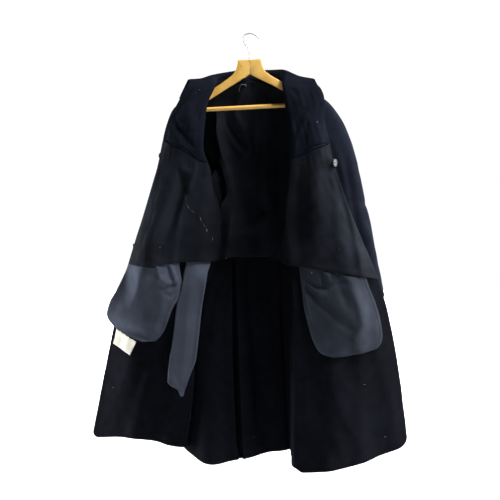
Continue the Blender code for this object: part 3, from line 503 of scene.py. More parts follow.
# One row per crease: the cloth, its line as seen, half width to the left and to the right of the line (pixels),
# and how far it stands towards the camera (mm, - for a trough).
CREASES = [
    # right front: facing
    ("front_r", ((174, 115), (178, 127), (184, 137), (194, 148)), 5.0, 2.5, -6.1),
    ("front_r", ((187, 104), (189, 118), (192, 131), (198, 144)), 4.0, 5.0, 3.9),
    ("front_r", ((168, 120), (173, 133), (181, 147)), 4.0, 3.0, 2.8),
    ("front_r", ((198, 88), (196, 104), (197, 122)), 4.0, 4.0, -2.2),
    # right front: lining
    ("front_r", ((185, 172), (179, 198), (171, 221), (157, 256)), 7.0, 5.0, -14.0),
    ("front_r", ((190, 168), (188, 196), (182, 221), (172, 264)), 5.0, 8.0, 7.9),
    ("front_r", ((179, 168), (184, 184), (190, 200)), 3.0, 2.0, -7.9),
    ("front_r", ((197, 160), (194, 180), (190, 199)), 3.0, 4.0, 6.1),
    ("front_r", ((159, 160), (151, 198), (139, 242)), 8.0, 6.0, 6.1),
    ("front_r", ((197, 214), (200, 238), (201, 268)), 5.0, 5.0, 5.2),
    ("front_r", ((208, 220), (211, 242), (212, 268)), 4.0, 4.0, -5.2),
    ("front_r", ((184, 228), (181, 248), (178, 270)), 4.0, 6.0, -4.4),
    # right front: skirt
    ("front_r", ((152, 342), (139, 387), (129, 420), (121, 450)), 9.0, 6.0, -6.0),
    ("front_r", ((160, 345), (151, 385), (144, 420), (139, 452)), 7.0, 8.0, 4.1),
    ("front_r", ((134, 345), (124, 385), (112, 432)), 8.0, 7.0, 2.6),
    ("front_r", ((174, 388), (169, 418), (165, 455)), 6.0, 6.0, 2.6),
    ("front_r", ((112, 350), (105, 390), (99, 432)), 5.0, 5.0, -2.2),
    # left front: facing
    ("front_l", ((305, 108), (299, 121), (291, 134)), 3.0, 5.0, -3.6),
    ("front_l", ((309, 124), (302, 137), (295, 149)), 3.0, 4.5, -3.4),
    ("front_l", ((308, 114), (301, 130), (294, 143)), 3.0, 3.0, 3.3),
    ("front_l", ((316, 82), (318, 108), (319, 128), (320, 144)), 6.0, 8.0, 3.9),
    ("front_l", ((290, 88), (294, 93), (298, 97)), 3.0, 3.0, -2.8),
    # left front: lining
    ("front_l", ((334, 160), (341, 185), (347, 203), (353, 230), (357, 280)), 4.0, 7.0, 8.2),
    ("front_l", ((324, 156), (327, 195), (329, 230), (331, 280)), 8.0, 6.0, -6.8),
    ("front_l", ((311, 156), (313, 200), (312, 240), (310, 278)), 7.0, 7.0, 6.0),
    ("front_l", ((300, 164), (298, 205), (299, 240), (301, 276)), 4.0, 5.0, -5.2),
    # left front: skirt
    ("front_l", ((322, 340), (329, 382), (341, 414), (364, 456)), 7.0, 8.0, 4.1),
    ("front_l", ((310, 352), (316, 398), (325, 436), (338, 474)), 7.0, 6.0, -3.8),
    ("front_l", ((343, 338), (356, 385), (372, 430), (382, 462)), 8.0, 8.0, -3.4),
    ("front_l", ((299, 320), (302, 380), (305, 430), (308, 480)), 5.0, 6.0, 3.4),
    ("front_l", ((370, 320), (380, 368), (392, 415), (400, 455)), 7.0, 7.0, 3.0),
    # back lining: pulls that fan down from under the collar
    ("lining_back", ((217, 112), (214, 125), (217, 137), (222, 158), (228, 181), (234, 202), (234, 212), (227, 224), (218, 237), (213, 254)), 4.5, 7.0, 8.0),
    ("lining_back", ((225, 114), (230, 126), (238, 137), (249, 148)), 3.5, 3.0, -5.0),
    ("lining_back", ((233, 110), (241, 127), (248, 140), (251, 149)), 3.0, 3.5, 5.0),
    ("lining_back", ((229, 138), (238, 149), (248, 159)), 3.0, 2.5, 4.0),
    ("lining_back", ((251, 100), (252, 132), (256, 150), (253, 178)), 3.5, 4.0, -5.5),
    ("lining_back", ((267, 104), (269, 130), (266, 150), (264, 176), (266, 210)), 5.0, 5.0, 5.5),
    ("lining_back", ((243, 156), (241, 180), (245, 202), (251, 226)), 8.0, 8.0, -3.5),
    ("lining_back", ((257, 176), (259, 197), (263, 214)), 4.0, 4.0, -3.5),
    ("lining_back", ((279, 198), (264, 218), (245, 228), (226, 239)), 5.0, 9.0, 4.0),
    ("lining_back", ((284, 108), (283, 150), (281, 190), (281, 240)), 7.0, 9.0, -8.0),
    ("lining_back", ((241, 88), (238, 102), (234, 117)), 3.0, 3.0, 2.5),
    ("lining_back", ((261, 90), (264, 104), (268, 116)), 4.0, 4.0, 2.5),
    ("lining_back", ((249, 236), (248, 248), (247, 266)), 7.0, 7.0, 3.0),
    ("lining_back", ((220, 160), (222, 176), (224, 190), (221, 204)), 4.0, 3.0, -6.0),
    ("lining_back", ((214, 176), (216, 190), (214, 204)), 2.5, 2.5, -5.0),
    # back skirt
    ("back_r", ((202, 340), (205, 400), (207, 472)), 8.0, 8.0, 6.5),
    ("back_r", ((224, 290), (224, 370), (229, 472)), 7.0, 6.0, -7.0),
    ("back_r", ((233.4, 240), (234.4, 302), (235.6, 344), (236.8, 376), (238.4, 417), (240.4, 450), (244, 476)), 1.3, 2.8, -20.0),
    ("back_l", ((254, 322), (258, 380), (260, 446)), 5.0, 6.0, -12.0),
    ("back_l", ((271, 290), (273, 380), (270, 464)), 7.0, 6.0, 4.5),
    ("back_l", ((280.6, 236), (281.6, 300), (284, 350), (287.2, 386), (289, 474)), 1.4, 1.6, -12.0),
    ("back_l", ((288, 236), (290, 350), (294, 474)), 5.0, 6.0, -13.0),
    # pocket bags
    ("pocket_bag_r", ((156, 258), (159, 277), (167, 286)), 2.0, 2.5, 4.0),
    ("pocket_bag_r", ((163, 258), (169, 275), (175, 287)), 2.0, 2.0, -3.0),
    ("pocket_bag_r", ((168, 258), (173, 272), (178, 285)), 1.8, 1.8, 3.5),
    ("pocket_bag_r", ((150, 258), (152, 277), (148, 294)), 4.0, 4.0, -2.5),
    ("pocket_bag_r", ((142, 262), (139, 285), (130, 308)), 6.0, 5.0, 3.5),
    ("pocket_bag_r", ((160, 284), (151, 304), (143, 328)), 5.0, 6.0, -3.0),
    ("pocket_bag_r", ((168, 288), (161, 308), (154, 333)), 4.0, 4.0, 3.0),
    ("pocket_bag_r", ((150, 283), (163, 289), (176, 285)), 1.6, 1.6, -4.0),
    ("pocket_bag_r", ((158, 277), (168, 283), (179, 280)), 1.6, 1.8, 3.5),
    ("pocket_bag_r", ((162, 291), (170, 296), (177, 291)), 1.8, 1.6, -3.5),
    ("pocket_bag_r", ((146, 270), (158, 275), (168, 272)), 1.8, 1.6, -3.0),
    ("pocket_bag_l", ((303, 277), (315, 287), (329, 289)), 1.6, 1.6, -4.0),
    ("pocket_bag_l", ((306, 284), (317, 293), (327, 297)), 1.6, 1.8, 3.5),
    ("pocket_bag_l", ((318.5, 264), (321, 276), (323, 287)), 1.8, 1.8, -4.5),
    ("pocket_bag_l", ((325, 264), (327, 275), (329, 284)), 2.5, 2.5, 3.0),
    ("pocket_bag_l", ((346, 266), (350, 290), (356, 308), (360, 324), (350, 340)), 4.0, 7.0, 4.5),
    ("pocket_bag_l", ((303, 284), (321, 305), (336, 320), (354, 331)), 4.0, 5.0, -4.0),
    ("pocket_bag_l", ((302, 296), (312, 322), (324, 346)), 5.0, 5.0, 3.0),
    ("pocket_bag_l", ((338, 268), (340, 291), (347, 310)), 4.0, 4.0, -3.0),
    ("pocket_bag_l", ((342, 284), (348, 306), (352, 354)), 30.0, 16.0, 8.5),
    ("baton_pocket", ((191, 258), (188, 300), (186, 340), (181, 386)), 3.0, 4.0, 2.5),
    ("baton_pocket", ((168, 366), (174, 381), (182, 396)), 2.2, 2.2, 3.5),
    ("baton_pocket", ((199, 262), (197, 318), (191, 368)), 3.0, 3.0, -2.0),
    ("baton_pocket", ((181, 262), (178, 300), (176, 350)), 2.5, 2.5, -1.6),
    # left sleeve, seen beside the front
    ("sleeve_l", ((333, 110), (349, 148), (358, 185), (368, 230), (378, 290)), 5.0, 6.0, 4.5),
    ("sleeve_l", ((329, 142), (338, 172), (347, 204)), 3.0, 3.0, -4.0),
    ("sleeve_l", ((344, 154), (352, 198), (362, 250)), 4.0, 4.0, -3.5),
    ("sleeve_l", ((356, 200), (366, 206), (374, 216)), 2.5, 3.0, -2.5),
]

# Creases of the sides that the photograph hides: panel, then u and drop at both ends, half width and depth (mm).
HIDDEN = [
    ("back_r", (0.75, 130), (0.35, 330), 22, -4.0),
    ("back_r", (0.85, 180), (0.50, 420), 20, 3.5),
    ("back_r", (0.60, 420), (0.72, 800), 26, -4.0),
    ("back_r", (0.30, 520), (0.34, 1000), 24, 4.0),
    ("back_r", (0.80, 640), (0.84, 1250), 22, 5.0),
    ("back_l", (0.72, 120), (0.40, 310), 20, -4.0),
    ("back_l", (0.88, 170), (0.55, 400), 22, 3.5),
    ("back_l", (0.58, 430), (0.70, 820), 26, -4.0),
    ("back_l", (0.26, 480), (0.30, 900), 24, 3.5),
    ("back_l", (0.82, 660), (0.80, 1250), 22, 5.0),
    ("front_r", (0.10, 300), (0.16, 620), 16, 3.0),
    ("front_r", (0.14, 640), (0.12, 1250), 16, 4.0),
    ("front_l", (0.12, 300), (0.16, 620), 16, 3.0),
    ("front_l", (0.13, 640), (0.14, 1250), 16, -4.0),
]
PANEL_WIDE = {"front_r": 560.0, "front_l": 600.0, "back_r": 230.0, "back_l": 150.0}

# Long soft folds and short elbow creases of the sleeves: angle round the sleeve (degrees, 0 outwards, 90 to the front),
# its angle at the low end, level of both ends, half width (mm), depth (mm, + outwards).
SLEEVE_FOLDS = {
    "r": [
        (20, 40, -330, -620, 22, 5.0), (-30, -10, -380, -820, 24, -5.0), (75, 60, -420, -800, 20, 4.0), (-90, -70, -400, -760, 22, 4.5),
        (150, 110, -540, -640, 12, -4.0), (165, 120, -580, -690, 11, 3.5), (-140, -110, -560, -650, 12, -4.0), (-60, -95, -620, -700, 12, -3.5), (60, 20, -600, -680, 12, -3.0),
    ],
    "l": [
        (-25, -40, -330, -640, 22, 5.0), (-65, -50, -380, -820, 24, -5.0), (-110, -90, -420, -800, 20, 4.5), (-150, -130, -420, -780, 20, -4.0),
        (150, 115, -540, -640, 12, -4.0), (170, 125, -580, -690, 11, 3.5), (-140, -105, -560, -650, 12, -4.0), (-50, -90, -620, -700, 12, -3.5), (35, 10, -590, -650, 12, -3.0),
    ],
}


def line_dent(at, line, left, right):
    """How much of a crease each place holds: 1 on its line, fading to its sides and its ends."""
    line = np.asarray(line, float)
    step = np.diff(line, axis=0)
    long = np.linalg.norm(step, axis=-1)
    start = np.concatenate([[0], np.cumsum(long)])
    near = np.full(at.shape[:-1], 1e9)
    along, side = np.zeros_like(near), np.ones_like(near)
    for a, d, length, run in zip(line, step, long, start):
        off = at - a
        t = np.clip((off @ d) / length**2, 0, 1)
        gap = np.linalg.norm(off - t[..., None] * d, axis=-1)
        best = gap < near
        near = np.where(best, gap, near)
        along = np.where(best, run + t * length, along)
        side = np.where(best, d[1] * off[..., 0] - d[0] * off[..., 1], side)
    t = along / start[-1]
    wide = np.where(side > 0, right, left)
    return np.exp(-((near / wide) ** 2)) * np.sqrt(np.clip(4 * t * (1 - t), 0, 1))


DEEPEN = {"front_r": 1.0, "front_l": 1.0, "lining_back": 2.0, "back_r": 1.3, "back_l": 1.3, "pocket_bag_r": 1.7, "pocket_bag_l": 1.7, "baton_pocket": 0.6, "sleeve_l": 1.3}


def dents(cloth, at):
    out = np.zeros(at.shape[:-1])
    for name, line, left, right, deep in CREASES:
        if name == cloth:
            out += DEEPEN[cloth] * deep * line_dent(at, line, left, right)
    return out


def ripple(a, b, seed):
    """Slight unevenness of cloth, in millimetres, at lengths a and b along it."""
    out = 0.0
    for k in range(7):
        turn = 2.399 * k + seed
        wave = 210.0 / (1 + 0.62 * k)
        out = out + np.sin((a * math.cos(turn) + b * math.sin(turn)) * 2 * math.pi / wave + 1.7 * k * seed) / (1 + 0.55 * k)
    return 0.55 * out


def roll(panel, u, v):
    """How far the turned-back part of a front rounds forward between its fold and its edge."""
    t = np.clip((u - FRONT_U[3]) / (1 - FRONT_U[3]), 0, 1)
    high = np.interp(v, (0, 120, 260, 420, 600, 800, 1165), (2, 5, 14, 28, 31, 19, 8))
    return high * np.sin(math.pi * t**1.1)


def over_arm(panel, u, v):
    """How far the shoulder's cloth rounds outwards over the hanger's arm."""
    top = step_up(0.0, 5.0, v)
    low = 1 - step_up(45.0, 110.0, v)
    if panel.startswith("front"):
        return (6.0 * top * low - 3.4 * (1 - top)) * step_up(0.0, 0.04, u) * (1 - step_up(0.25, 0.31, u))
    return (4.0 * top * low - 3.6 * (1 - top)) * step_up(0.30, 0.42, u) * (1 - step_up(0.95, 1.0, u))


def relief(panel, u, v):
    """How far the panel's cloth stands off its smooth form, towards the wearer."""
    inside = step_up(0.0, 22.0, v)
    if panel.startswith("front"):
        inside = inside * step_up(0.0, 0.05, u)
        shown = step_up(0.30, 0.36, u)
    else:
        inside = inside * step_up(0.0, 0.07, u) * (1 - step_up(0.92, 1.0, u))
        shown = 1.0
    plain = bare(panel, u, v)
    out = shown * dents(panel, seen(plain)) + ripple(u * PANEL_WIDE[panel], v, {"front_r": 1.0, "front_l": 2.3, "back_r": 3.1, "back_l": 4.4}[panel])
    for name, high, low, wide, deep in HIDDEN:
        if name == panel:
            scale = np.array([PANEL_WIDE[panel], 1.0])
            out = out + deep * line_dent(np.stack([u, v], axis=-1) * scale, np.array([high, low]) * scale, wide, wide)
    if panel.startswith("front"):
        out = out + roll(panel, u, v)
    return fold_depth(panel, u, v) + inside * out - over_arm(panel, u, v)


def laid(panel, u, v, inset=0.0):
    """Points on the panel's inner face with its creases, moved inset millimetres towards the wearer."""
    u, v = np.broadcast_arrays(np.asarray(u, float), np.asarray(v, float))
    shape = u.shape
    u, v = u.ravel(), v.ravel()
    inset = np.broadcast_to(np.asarray(inset, float), shape).ravel()
    points = bare(panel, u, v) - outward(panel, u, v) * (relief(panel, u, v) + inset)[:, None]
    return points.reshape(shape + (3,))


def grid(u, v):
    return np.meshgrid(np.asarray(u, float), np.asarray(v, float))


def spaced(*stretches):
    """Places along a line: (first, last, count) for each stretch."""
    return np.unique(np.round(np.concatenate([np.linspace(*stretch) for stretch in stretches]), 6))


def on_grid(shape, s, t):
    """Points of a grid of points at s down and t across, from 0 to 1."""
    rows, columns = shape.shape[:2]
    y, x = np.clip(s, 0, 1) * (rows - 1), np.clip(t, 0, 1) * (columns - 1)
    j, i = np.minimum(y.astype(int), rows - 2), np.minimum(x.astype(int), columns - 2)
    b, a = (y - j)[:, None], (x - i)[:, None]
    return (shape[j, i] * (1 - a) + shape[j, i + 1] * a) * (1 - b) + (shape[j + 1, i] * (1 - a) + shape[j + 1, i + 1] * a) * b


# ---- making pieces -------------------------------------------------------------------------------------------


def mesh_of(name, points, faces, look, uv=None):
    mesh = bpy.data.meshes.new(name)
    mesh.from_pydata([tuple(p) for p in (points + np.array(DATUM)) * MM], [], faces)
    mesh.materials.append(look)
    if uv is not None:
        layer = mesh.uv_layers.new(name="cloth")
        corner = np.empty(len(mesh.loops), np.int32)
        mesh.loops.foreach_get("vertex_index", corner)
        layer.data.foreach_set("uv", uv[corner].astype(np.float32).ravel())
    mesh.shade_smooth()
    obj = bpy.data.objects.new(name, mesh)
    bpy.context.scene.collection.objects.link(obj)
    return obj


def quads(rows, columns, ring=False):
    across = columns if ring else columns - 1
    j, i = np.meshgrid(np.arange(rows - 1), np.arange(across), indexing="ij")
    right = (i + 1) % columns
    return np.stack([j * columns + i, j * columns + right, (j + 1) * columns + right, (j + 1) * columns + i], axis=-1).reshape(-1, 4)


def lengths(points):
    """Lengths along rows and columns, in metres."""
    rows = np.linalg.norm(np.diff(points, axis=1), axis=-1)
    columns = np.linalg.norm(np.diff(points, axis=0), axis=-1)
    u = np.concatenate([np.zeros((points.shape[0], 1)), np.cumsum(rows, axis=1)], axis=1)
    v = np.concatenate([np.zeros((1, points.shape[1])), np.cumsum(columns, axis=0)], axis=0)
    return np.stack([u, v], axis=-1) * MM


def cloth(name, points, wall, look, slot, turn=False, grow=1.0, ring=False, node=None, held="hung", on=("hanger_arm_r", "hanger_arm_l"), behind=None):
    """A shell of cloth on a grid of points (rows, columns, 3), thickened to one side; behind is the look of its other face."""
    uv = lengths(points)
    if ring:
        points, uv = points[:, :-1], uv[:, :-1]
    rows, columns = points.shape[:2]
    faces = quads(rows, columns, ring)
    if turn:
        faces = faces[:, ::-1]
    obj = mesh_of(name, points.reshape(-1, 3), faces.tolist(), look, uv.reshape(-1, 2))
    thick = obj.modifiers.new("wall", "SOLIDIFY")
    thick.thickness = wall * MM
    thick.offset = grow
    thick.use_even_offset = False
    thick.use_rim = True
    if behind:
        obj.data.materials.append(behind)
        thick.material_offset = 1
    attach(obj, "root")
    if node:
        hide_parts(node)
    return obj


def panel_cloth(name, panel, u, v, wall, look, slot, inset=0.0, inner=False, **more):
    points = laid(panel, u, v, inset)
    return cloth(name, points, wall, look, slot, turn=panel.endswith("_r"), grow=-1.0 if inner else 1.0, **more), points


FINE_ACROSS = spaced((0.0, 0.25, 24), (0.25, 0.32, 15), (0.32, 0.93, 58), (0.93, 1.0, 15))
FINE_DROPS = spaced((0, 1165, 200))
SHAPES = {}


def hem_corner(u, v):
    """The drop, lifted at the low front corner so that the corner is round."""
    t = np.clip((u - 0.935) / (1.0 - 0.935), 0, 1)
    return v - 27.0 * (1 - np.sqrt(1 - t**2)) * step_up(1010, 1165, v)


def build_shell(looks):
    build_collar(looks)
    for side in "rl":
        for part, across in (("front_", FINE_ACROSS), ("back_", spaced((0.0, 0.45, 84), (0.45, 1.0, 26)))):
            name = part + side
            u, v = grid(across, FINE_DROPS)
            if part == "front_":
                v = hem_corner(u, v)
            SHAPES[name] = panel_cloth(name + "_cloth", name, u, v, MELTON, looks["melton_outer"], "melton", node=name, behind=looks["melton"])[1]

        way = 1 if side == "l" else -1
        rings = sleeve_form(side)
        SHAPES["sleeve_" + side] = rings
        cloth("sleeve_" + side + "_cloth", rings, MELTON, looks["melton_outer"], "melton", turn=side == "r", ring=True, node="sleeve_" + side, on=["front_" + side + "_cloth", "back_" + side + "_cloth"])
        inner = ring_inset(rings, 1.0, way)[4:58]
        cloth("sleeve_lining_" + side + "_cloth", inner, SATIN, looks["satin"], "satin", turn=side == "r", grow=-1.0, ring=True, node="sleeve_lining_" + side, on=["sleeve_" + side + "_cloth"])


def build_collar(looks):
    profile = collar_points(150)
    rows = spaced((0, 6, 44))
    points = smooth(np.arange(7.0), np.repeat(profile[:, None], len(rows), axis=1).reshape(7, -1, 3), np.repeat(rows, 150)).reshape(len(rows), 150, 3)
    run = lengths(points) / MM
    uneven = ripple(run[..., 0], run[..., 1] * 1.4, 5.2) * step_up(0.3, 1.5, rows)[:, None] * 1.1
    points[..., 1] += 0.7 * uneven
    points[..., 2] += 0.5 * uneven * step_up(2.0, 3.0, rows)[:, None]
    SHAPES["collar"] = points
    cloth("collar_cloth", points, COLLAR, looks["melton_inside"], "melton_inside", grow=-1.0, node="collar")


def sleeve_form(side):
    """The sleeve's rings with its folds and elbow creases."""
    way = 1 if side == "l" else -1
    rings = sleeve_rings(side, 76, head=28, per=26)
    angle = np.linspace(0, 360, rings.shape[1])
    level = rings[..., 2]
    off = np.zeros(level.shape)
    for high, low, top, bottom, wide, deep in SLEEVE_FOLDS[side]:
        t = np.clip((level - top) / (bottom - top), -0.2, 1.2)
        middle = high + (low - high) * np.clip(t, 0, 1)
        apart = (angle[None, :] - middle + 180) % 360 - 180
        out_of = np.maximum(np.abs(level - (top + bottom) / 2) - abs(bottom - top) / 2, 0)
        off += deep * np.exp(-((apart * 1.15 / wide) ** 2) - (out_of / 40) ** 2)
    px = seen(rings)
    facing = step_up(-5.0, 8.0, 40.0 - np.abs((angle[None, :] - 60 + 180) % 360 - 180) * 0.45)
    off += facing * dents("sleeve_" + side, px)
    off += 1.2 * ripple(angle[None, :] * 1.3, level, 6.1 if side == "r" else 7.7)
    off *= step_up(2, 10, np.arange(rings.shape[0]))[:, None]
    off[:, -1] = off[:, 0]
    return ring_inset(rings, -off[..., None], way)


def over_collar(side, u, steps):
    """Rows of the facing that run up over the collar's stand and under its roll."""
    collar = SHAPES["collar"]
    rows = []
    for r in steps:
        reach = 0.35 + 1.5 * step_up(2, 14, r)
        place = np.where(u < 0.34, 2 + (0.34 - u) / 0.055 * reach, np.interp(u, (0.34, 0.66, 1.0), (2.0, 1.0, 0.0)))
        across = (place if side == "r" else 10.0 - place) / 10.0
        s, t = r / 43.0 + 0 * across, across
        at = on_grid(collar, s, t)
        along = on_grid(collar, s, np.minimum(t + 0.006, 1)) - on_grid(collar, s, np.maximum(t - 0.006, 0))
        up = on_grid(collar, np.minimum(s + 0.01, 1), t) - on_grid(collar, np.maximum(s - 0.01, 0), t)
        rows.append(at + unit(np.cross(along, up)) * np.interp(r, (0, 6, 13, 17, 22), (2.0, 0.5, 0.4, -0.6, -3.4)))
    return np.stack(rows)


# The breast pockets' slits: places across the front, and the drop of the upper and of the lower line.
SLITS = {
    "r": ((0.325, 0.38, 0.453, 0.562, 0.667, 0.772, 0.93, 0.965), (228.9, 216.2, 203.4, 196.2, 190.2, 182.8, 175.2, 175.6), (228.9, 217.2, 210.2, 203.2, 196.2, 190.0, 178.4, 176.2)),
    "l": ((0.34, 0.352, 0.463, 0.60, 0.72, 0.80, 0.867, 0.985), (218.4, 216.0, 201.6, 191.6, 186.8, 184.0, 182.4, 179.6), (219.0, 219.8, 211.0, 202.6, 195.6, 191.6, 188.0, 180.6)),
}
SLIT_OPEN = {"r": (0.7, 1.5), "l": (0.8, 1.3)}  # half the gap along the upper and along the lower line


def slit(side, u):
    """The drops of a slit's upper and lower line, both on the facing's seam beyond its ends."""
    places, high, low = SLITS[side]
    seam = pocket_line(side, u)
    inside = (u > places[0]) & (u < places[-1])
    ends = step_up(places[0], places[0] + 0.03, u) * (1 - step_up(places[-1] - 0.03, places[-1], u))
    upper = np.where(inside, np.interp(u, places, high), seam)
    lower = np.where(inside, np.interp(u, places, low), seam)
    return upper, lower, ends


def lining_seam(side, v):
    """Where the front's and the back's lining are joined, down the side seam."""
    edge = bare("front_" + side, 0 * v, v)
    out = unit(outward("front_" + side, 0 * v, v) + outward("back_" + side, 1 + 0 * v, v))
    return edge - out * (4.5 + 0.5 * LINING_LIFT * step_up(420, 530, v))[:, None]


def build_inside(looks):
    for side in "rl":
        front = "front_" + side
        across = spaced((0.262, 0.32, 12), (0.32, 0.997, 80))
        u, t = grid(across, np.linspace(0, 1, 50))
        upper, lower, ends = slit(side, u)
        v = 1.0 + t * (upper - 0.2 - ends * SLIT_OPEN[side][0] - 1.0)
        laid_rows = laid(front, u, v, LAYER_GAP - 1.0 * ends * step_up(0.97, 1.0, t))
        points = np.concatenate([over_collar(side, across, (22, 20, 18, 16, 14.5, 13, 11, 9, 7, 5, 3, 1.5)), laid_rows])
        for _ in range(3):
            points[9:16] = (points[8:15] + 2 * points[9:16] + points[10:17]) / 4
        SHAPES["facing_" + side] = points
        cloth("facing_" + side + "_cloth", points, FACING, looks["melton_inside"], "melton_inside", turn=side == "r", grow=-1.0, node="facing_" + side, on=[front + "_cloth"])

        across = spaced((0.0, 0.25, 30), (0.25, 0.32, 15), (0.32, 0.997, 80))
        u, t = grid(across, spaced((0, 0.04, 5), (0.04, 0.96, 76), (0.96, 1.0, 6)))
        upper, lower, ends = slit(side, u)
        top = np.where(u < FOLD_U, np.interp(u, (0.0, FOLD_U), (UNDERARM + 16, pocket_line(side, FOLD_U))), lower) + 0.2 + ends * SLIT_OPEN[side][1]
        hem = lining_hem(side, u)
        v = top + t * (hem - top)
        turned_up = 0.9 * step_up(hem - 15, hem - 12.5, v)
        points = laid(front, u, v, lift(v, hem) + turned_up)
        points += (1 - step_up(0.0, 0.13, u))[..., None] * (lining_seam(side, v[:, 0]) - points[:, 0])[:, None]
        SHAPES["lining_front_" + side] = points
        cloth("lining_front_" + side + "_cloth", points, LINING, looks["lining"], "lining", turn=side == "r", grow=-1.0, node="lining_front_" + side, on=[front + "_cloth"])

        build_breast_pocket(side, looks)
        build_outer_welt(side, looks)
        build_bag(side, looks)
    build_back_lining(looks)
    build_vent(looks)
    build_baton(looks)
    build_tab(looks)
    build_loop(looks)


def build_breast_pocket(side, looks):
    """The welt that shows as a lens between the slit's two lines."""
    front = "front_" + side
    places = SLITS[side][0]
    across = np.linspace(places[0] + 0.012, places[-1] - 0.008, 90)
    u, t = grid(across, np.linspace(0, 1, 17))
    upper, lower, ends = slit(side, u)
    first, last = upper + ends * SLIT_OPEN[side][0], lower - ends * SLIT_OPEN[side][1]
    last = np.maximum(last, first + 0.4)
    v = first + np.clip((t - 0.16) / 0.68, 0, 1) * (last - first)
    points = laid(front, u, v, 0.2 + (0.6 + 2.6 * ends) * np.sin(math.pi * np.clip(t, 0, 1)) ** 0.5)
    SHAPES["breast_welt_" + side] = points
    cloth("breast_pocket_" + side, points, 0.7, looks["melton_inside"], "melton_inside", turn=side == "r", grow=-1.0, node="breast_welt_" + side, held="stretched", on=["facing_" + side + "_cloth"])


def build_outer_welt(side, looks):
    front = "front_" + side
    z, inner, outer = POCKET_WELT[side]
    x, t = grid(np.linspace(inner, outer, 40), np.linspace(0, 1, 10))
    u, v = seat(front, x, z - t * POCKET_WELT_HIGH, FRONT_U[3])
    edge = np.minimum(np.minimum(t, 1 - t) * POCKET_WELT_HIGH, np.minimum(np.abs(x - inner), np.abs(outer - x)))
    points = laid(front, u, v, -(MELTON + 0.5 + 1.2 * step_up(0, 5, edge)))
    SHAPES["pocket_welt_" + side] = points
    cloth("pocket_welt_" + side + "_cloth", points, 1.6, looks["melton"], "melton", turn=side == "r", node="pocket_welt_" + side, held="stretched", on=[front + "_cloth"])


def rounded_rows(columns, rows, count):
    """A table of edges read finely, with close rows at its low end."""
    t = table(columns, rows)
    at = (len(rows) - 1) * (1 - (1 - np.linspace(0, 1, count)) ** 1.25)
    return {name: smooth(np.arange(float(len(rows))), np.repeat(value[:, None, None], count, axis=1), at)[:, 0] for name, value in t.items()}


def bag_hem(t, s):
    """A seam allowance stitched flat inside the bag's edge."""
    edge = np.minimum(np.minimum(t, 1 - t) * 205.0, (1 - s) * 300.0)
    return 0.8 * (1 - step_up(9.0, 11.5, edge)) - 0.35 * np.exp(-(((edge - 12.0) / 1.6) ** 2))


def build_bag(side, looks):
    front = "front_" + side
    rows = rounded_rows(BAG_COLUMNS, BAGS[side], 96)
    if side == "r":
        rows["inner"] = rows["inner"] + 22.0 * step_up(-890, -780, rows["z"])
    t = np.linspace(0, 1, 84)[None, :]
    x = rows["inner"][:, None] + (rows["outer"] - rows["inner"])[:, None] * t
    z = rows["z"][:, None] + 0 * x
    u, v = seat(front, x, z, FRONT_U[3])
    name = "pocket_bag_" + side
    s = np.linspace(0, 1, 96)[:, None] + 0 * t
    plain = laid(front, u, v, BAG_GAP)
    fade = step_up(0.0, 0.03, t) * step_up(0.0, 0.03, 1 - t) * (1 - step_up(0.93, 1.0, s))
    puff = (3.6 if side == "r" else 5.0) * np.sqrt(np.sin(math.pi * np.clip(t, 0, 1)) * np.sin(math.pi * np.clip(0.06 + 0.94 * s, 0, 1))) + 1.4
    own = fade * (dents(name, seen(plain)) + 0.8 * ripple(t * 200.0, s * 300.0, 8.3 if side == "r" else 9.1)) + puff + bag_hem(t, s)
    at = seen(plain)
    hem = 263.0 - 0.05 * (at[..., 0] - 127.0) if side == "r" else 262.0 + 0.214 * (at[..., 0] - 293.0)
    own = np.minimum(own, 0.8 + 24.0 * step_up(hem, hem + 11.0, at[..., 1]))
    points = laid(front, u, v, BAG_GAP + np.maximum(own, 0.2))
    if side == "r":
        # Its outer side hangs flatter than the front's roll behind it.
        deep = points[..., 1].copy()
        low = step_up(0.05, 0.26, s)
        start = deep[:, 15:16]
        out = 16.0 - 7.0 * step_up(0.35, 0.60, s)
        even = start + (deep[:, -1:] - out * low - start) * np.clip((t - 0.18) / 0.82, 0, 1) ** 1.25
        even = np.minimum(even, deep + 4.0)
        for _ in range(30):
            even[:, 1:-1] = 0.25 * even[:, :-2] + 0.5 * even[:, 1:-1] + 0.25 * even[:, 2:]
            even[1:-1] = 0.25 * even[:-2] + 0.5 * even[1:-1] + 0.25 * even[2:]
        points[..., 1] += low * step_up(0.25, 0.50, t) * (np.minimum(even, deep + 4.5) - deep)
    SHAPES[name] = points
    # The left bag takes a darker copy of the drill: painted shade.
    cloth(name + "_cloth", points, 1.6, looks["drill" if side == "r" else "drill_left"], "drill", turn=side == "r", grow=-1.0, node=name, on=["lining_front_" + side + "_cloth"])


# Where the back lining ends at the right armhole, as seen.
ARMHOLE_EDGE = ((215.0, 100), (215.0, 112), (212.5, 125), (215.0, 137), (219.5, 158), (224.5, 181), (226.0, 200))


def armhole_edge(widest, drops):
    """The back lining's width, cut back to the edge of the right armhole."""
    u, v = grid(np.linspace(0, 1, 201), drops)
    at = seen(cloth_at("back_r", u, v, 14.0 + 0 * u))
    edge = np.interp(at[..., 1], [y for x, y in ARMHOLE_EDGE], [x for x, y in ARMHOLE_EDGE])
    cut = np.where(at[..., 0] >= edge, u, 0).max(axis=1)
    level = at[:, 140, 1]
    cut = np.convolve(np.pad(cut, 2, mode="edge"), np.ones(5) / 5, mode="valid")
    held = step_up(104, 112, level) * (1 - step_up(190, 212, level))
    return np.minimum(widest, widest + (cut[:, None] - widest) * held[:, None])


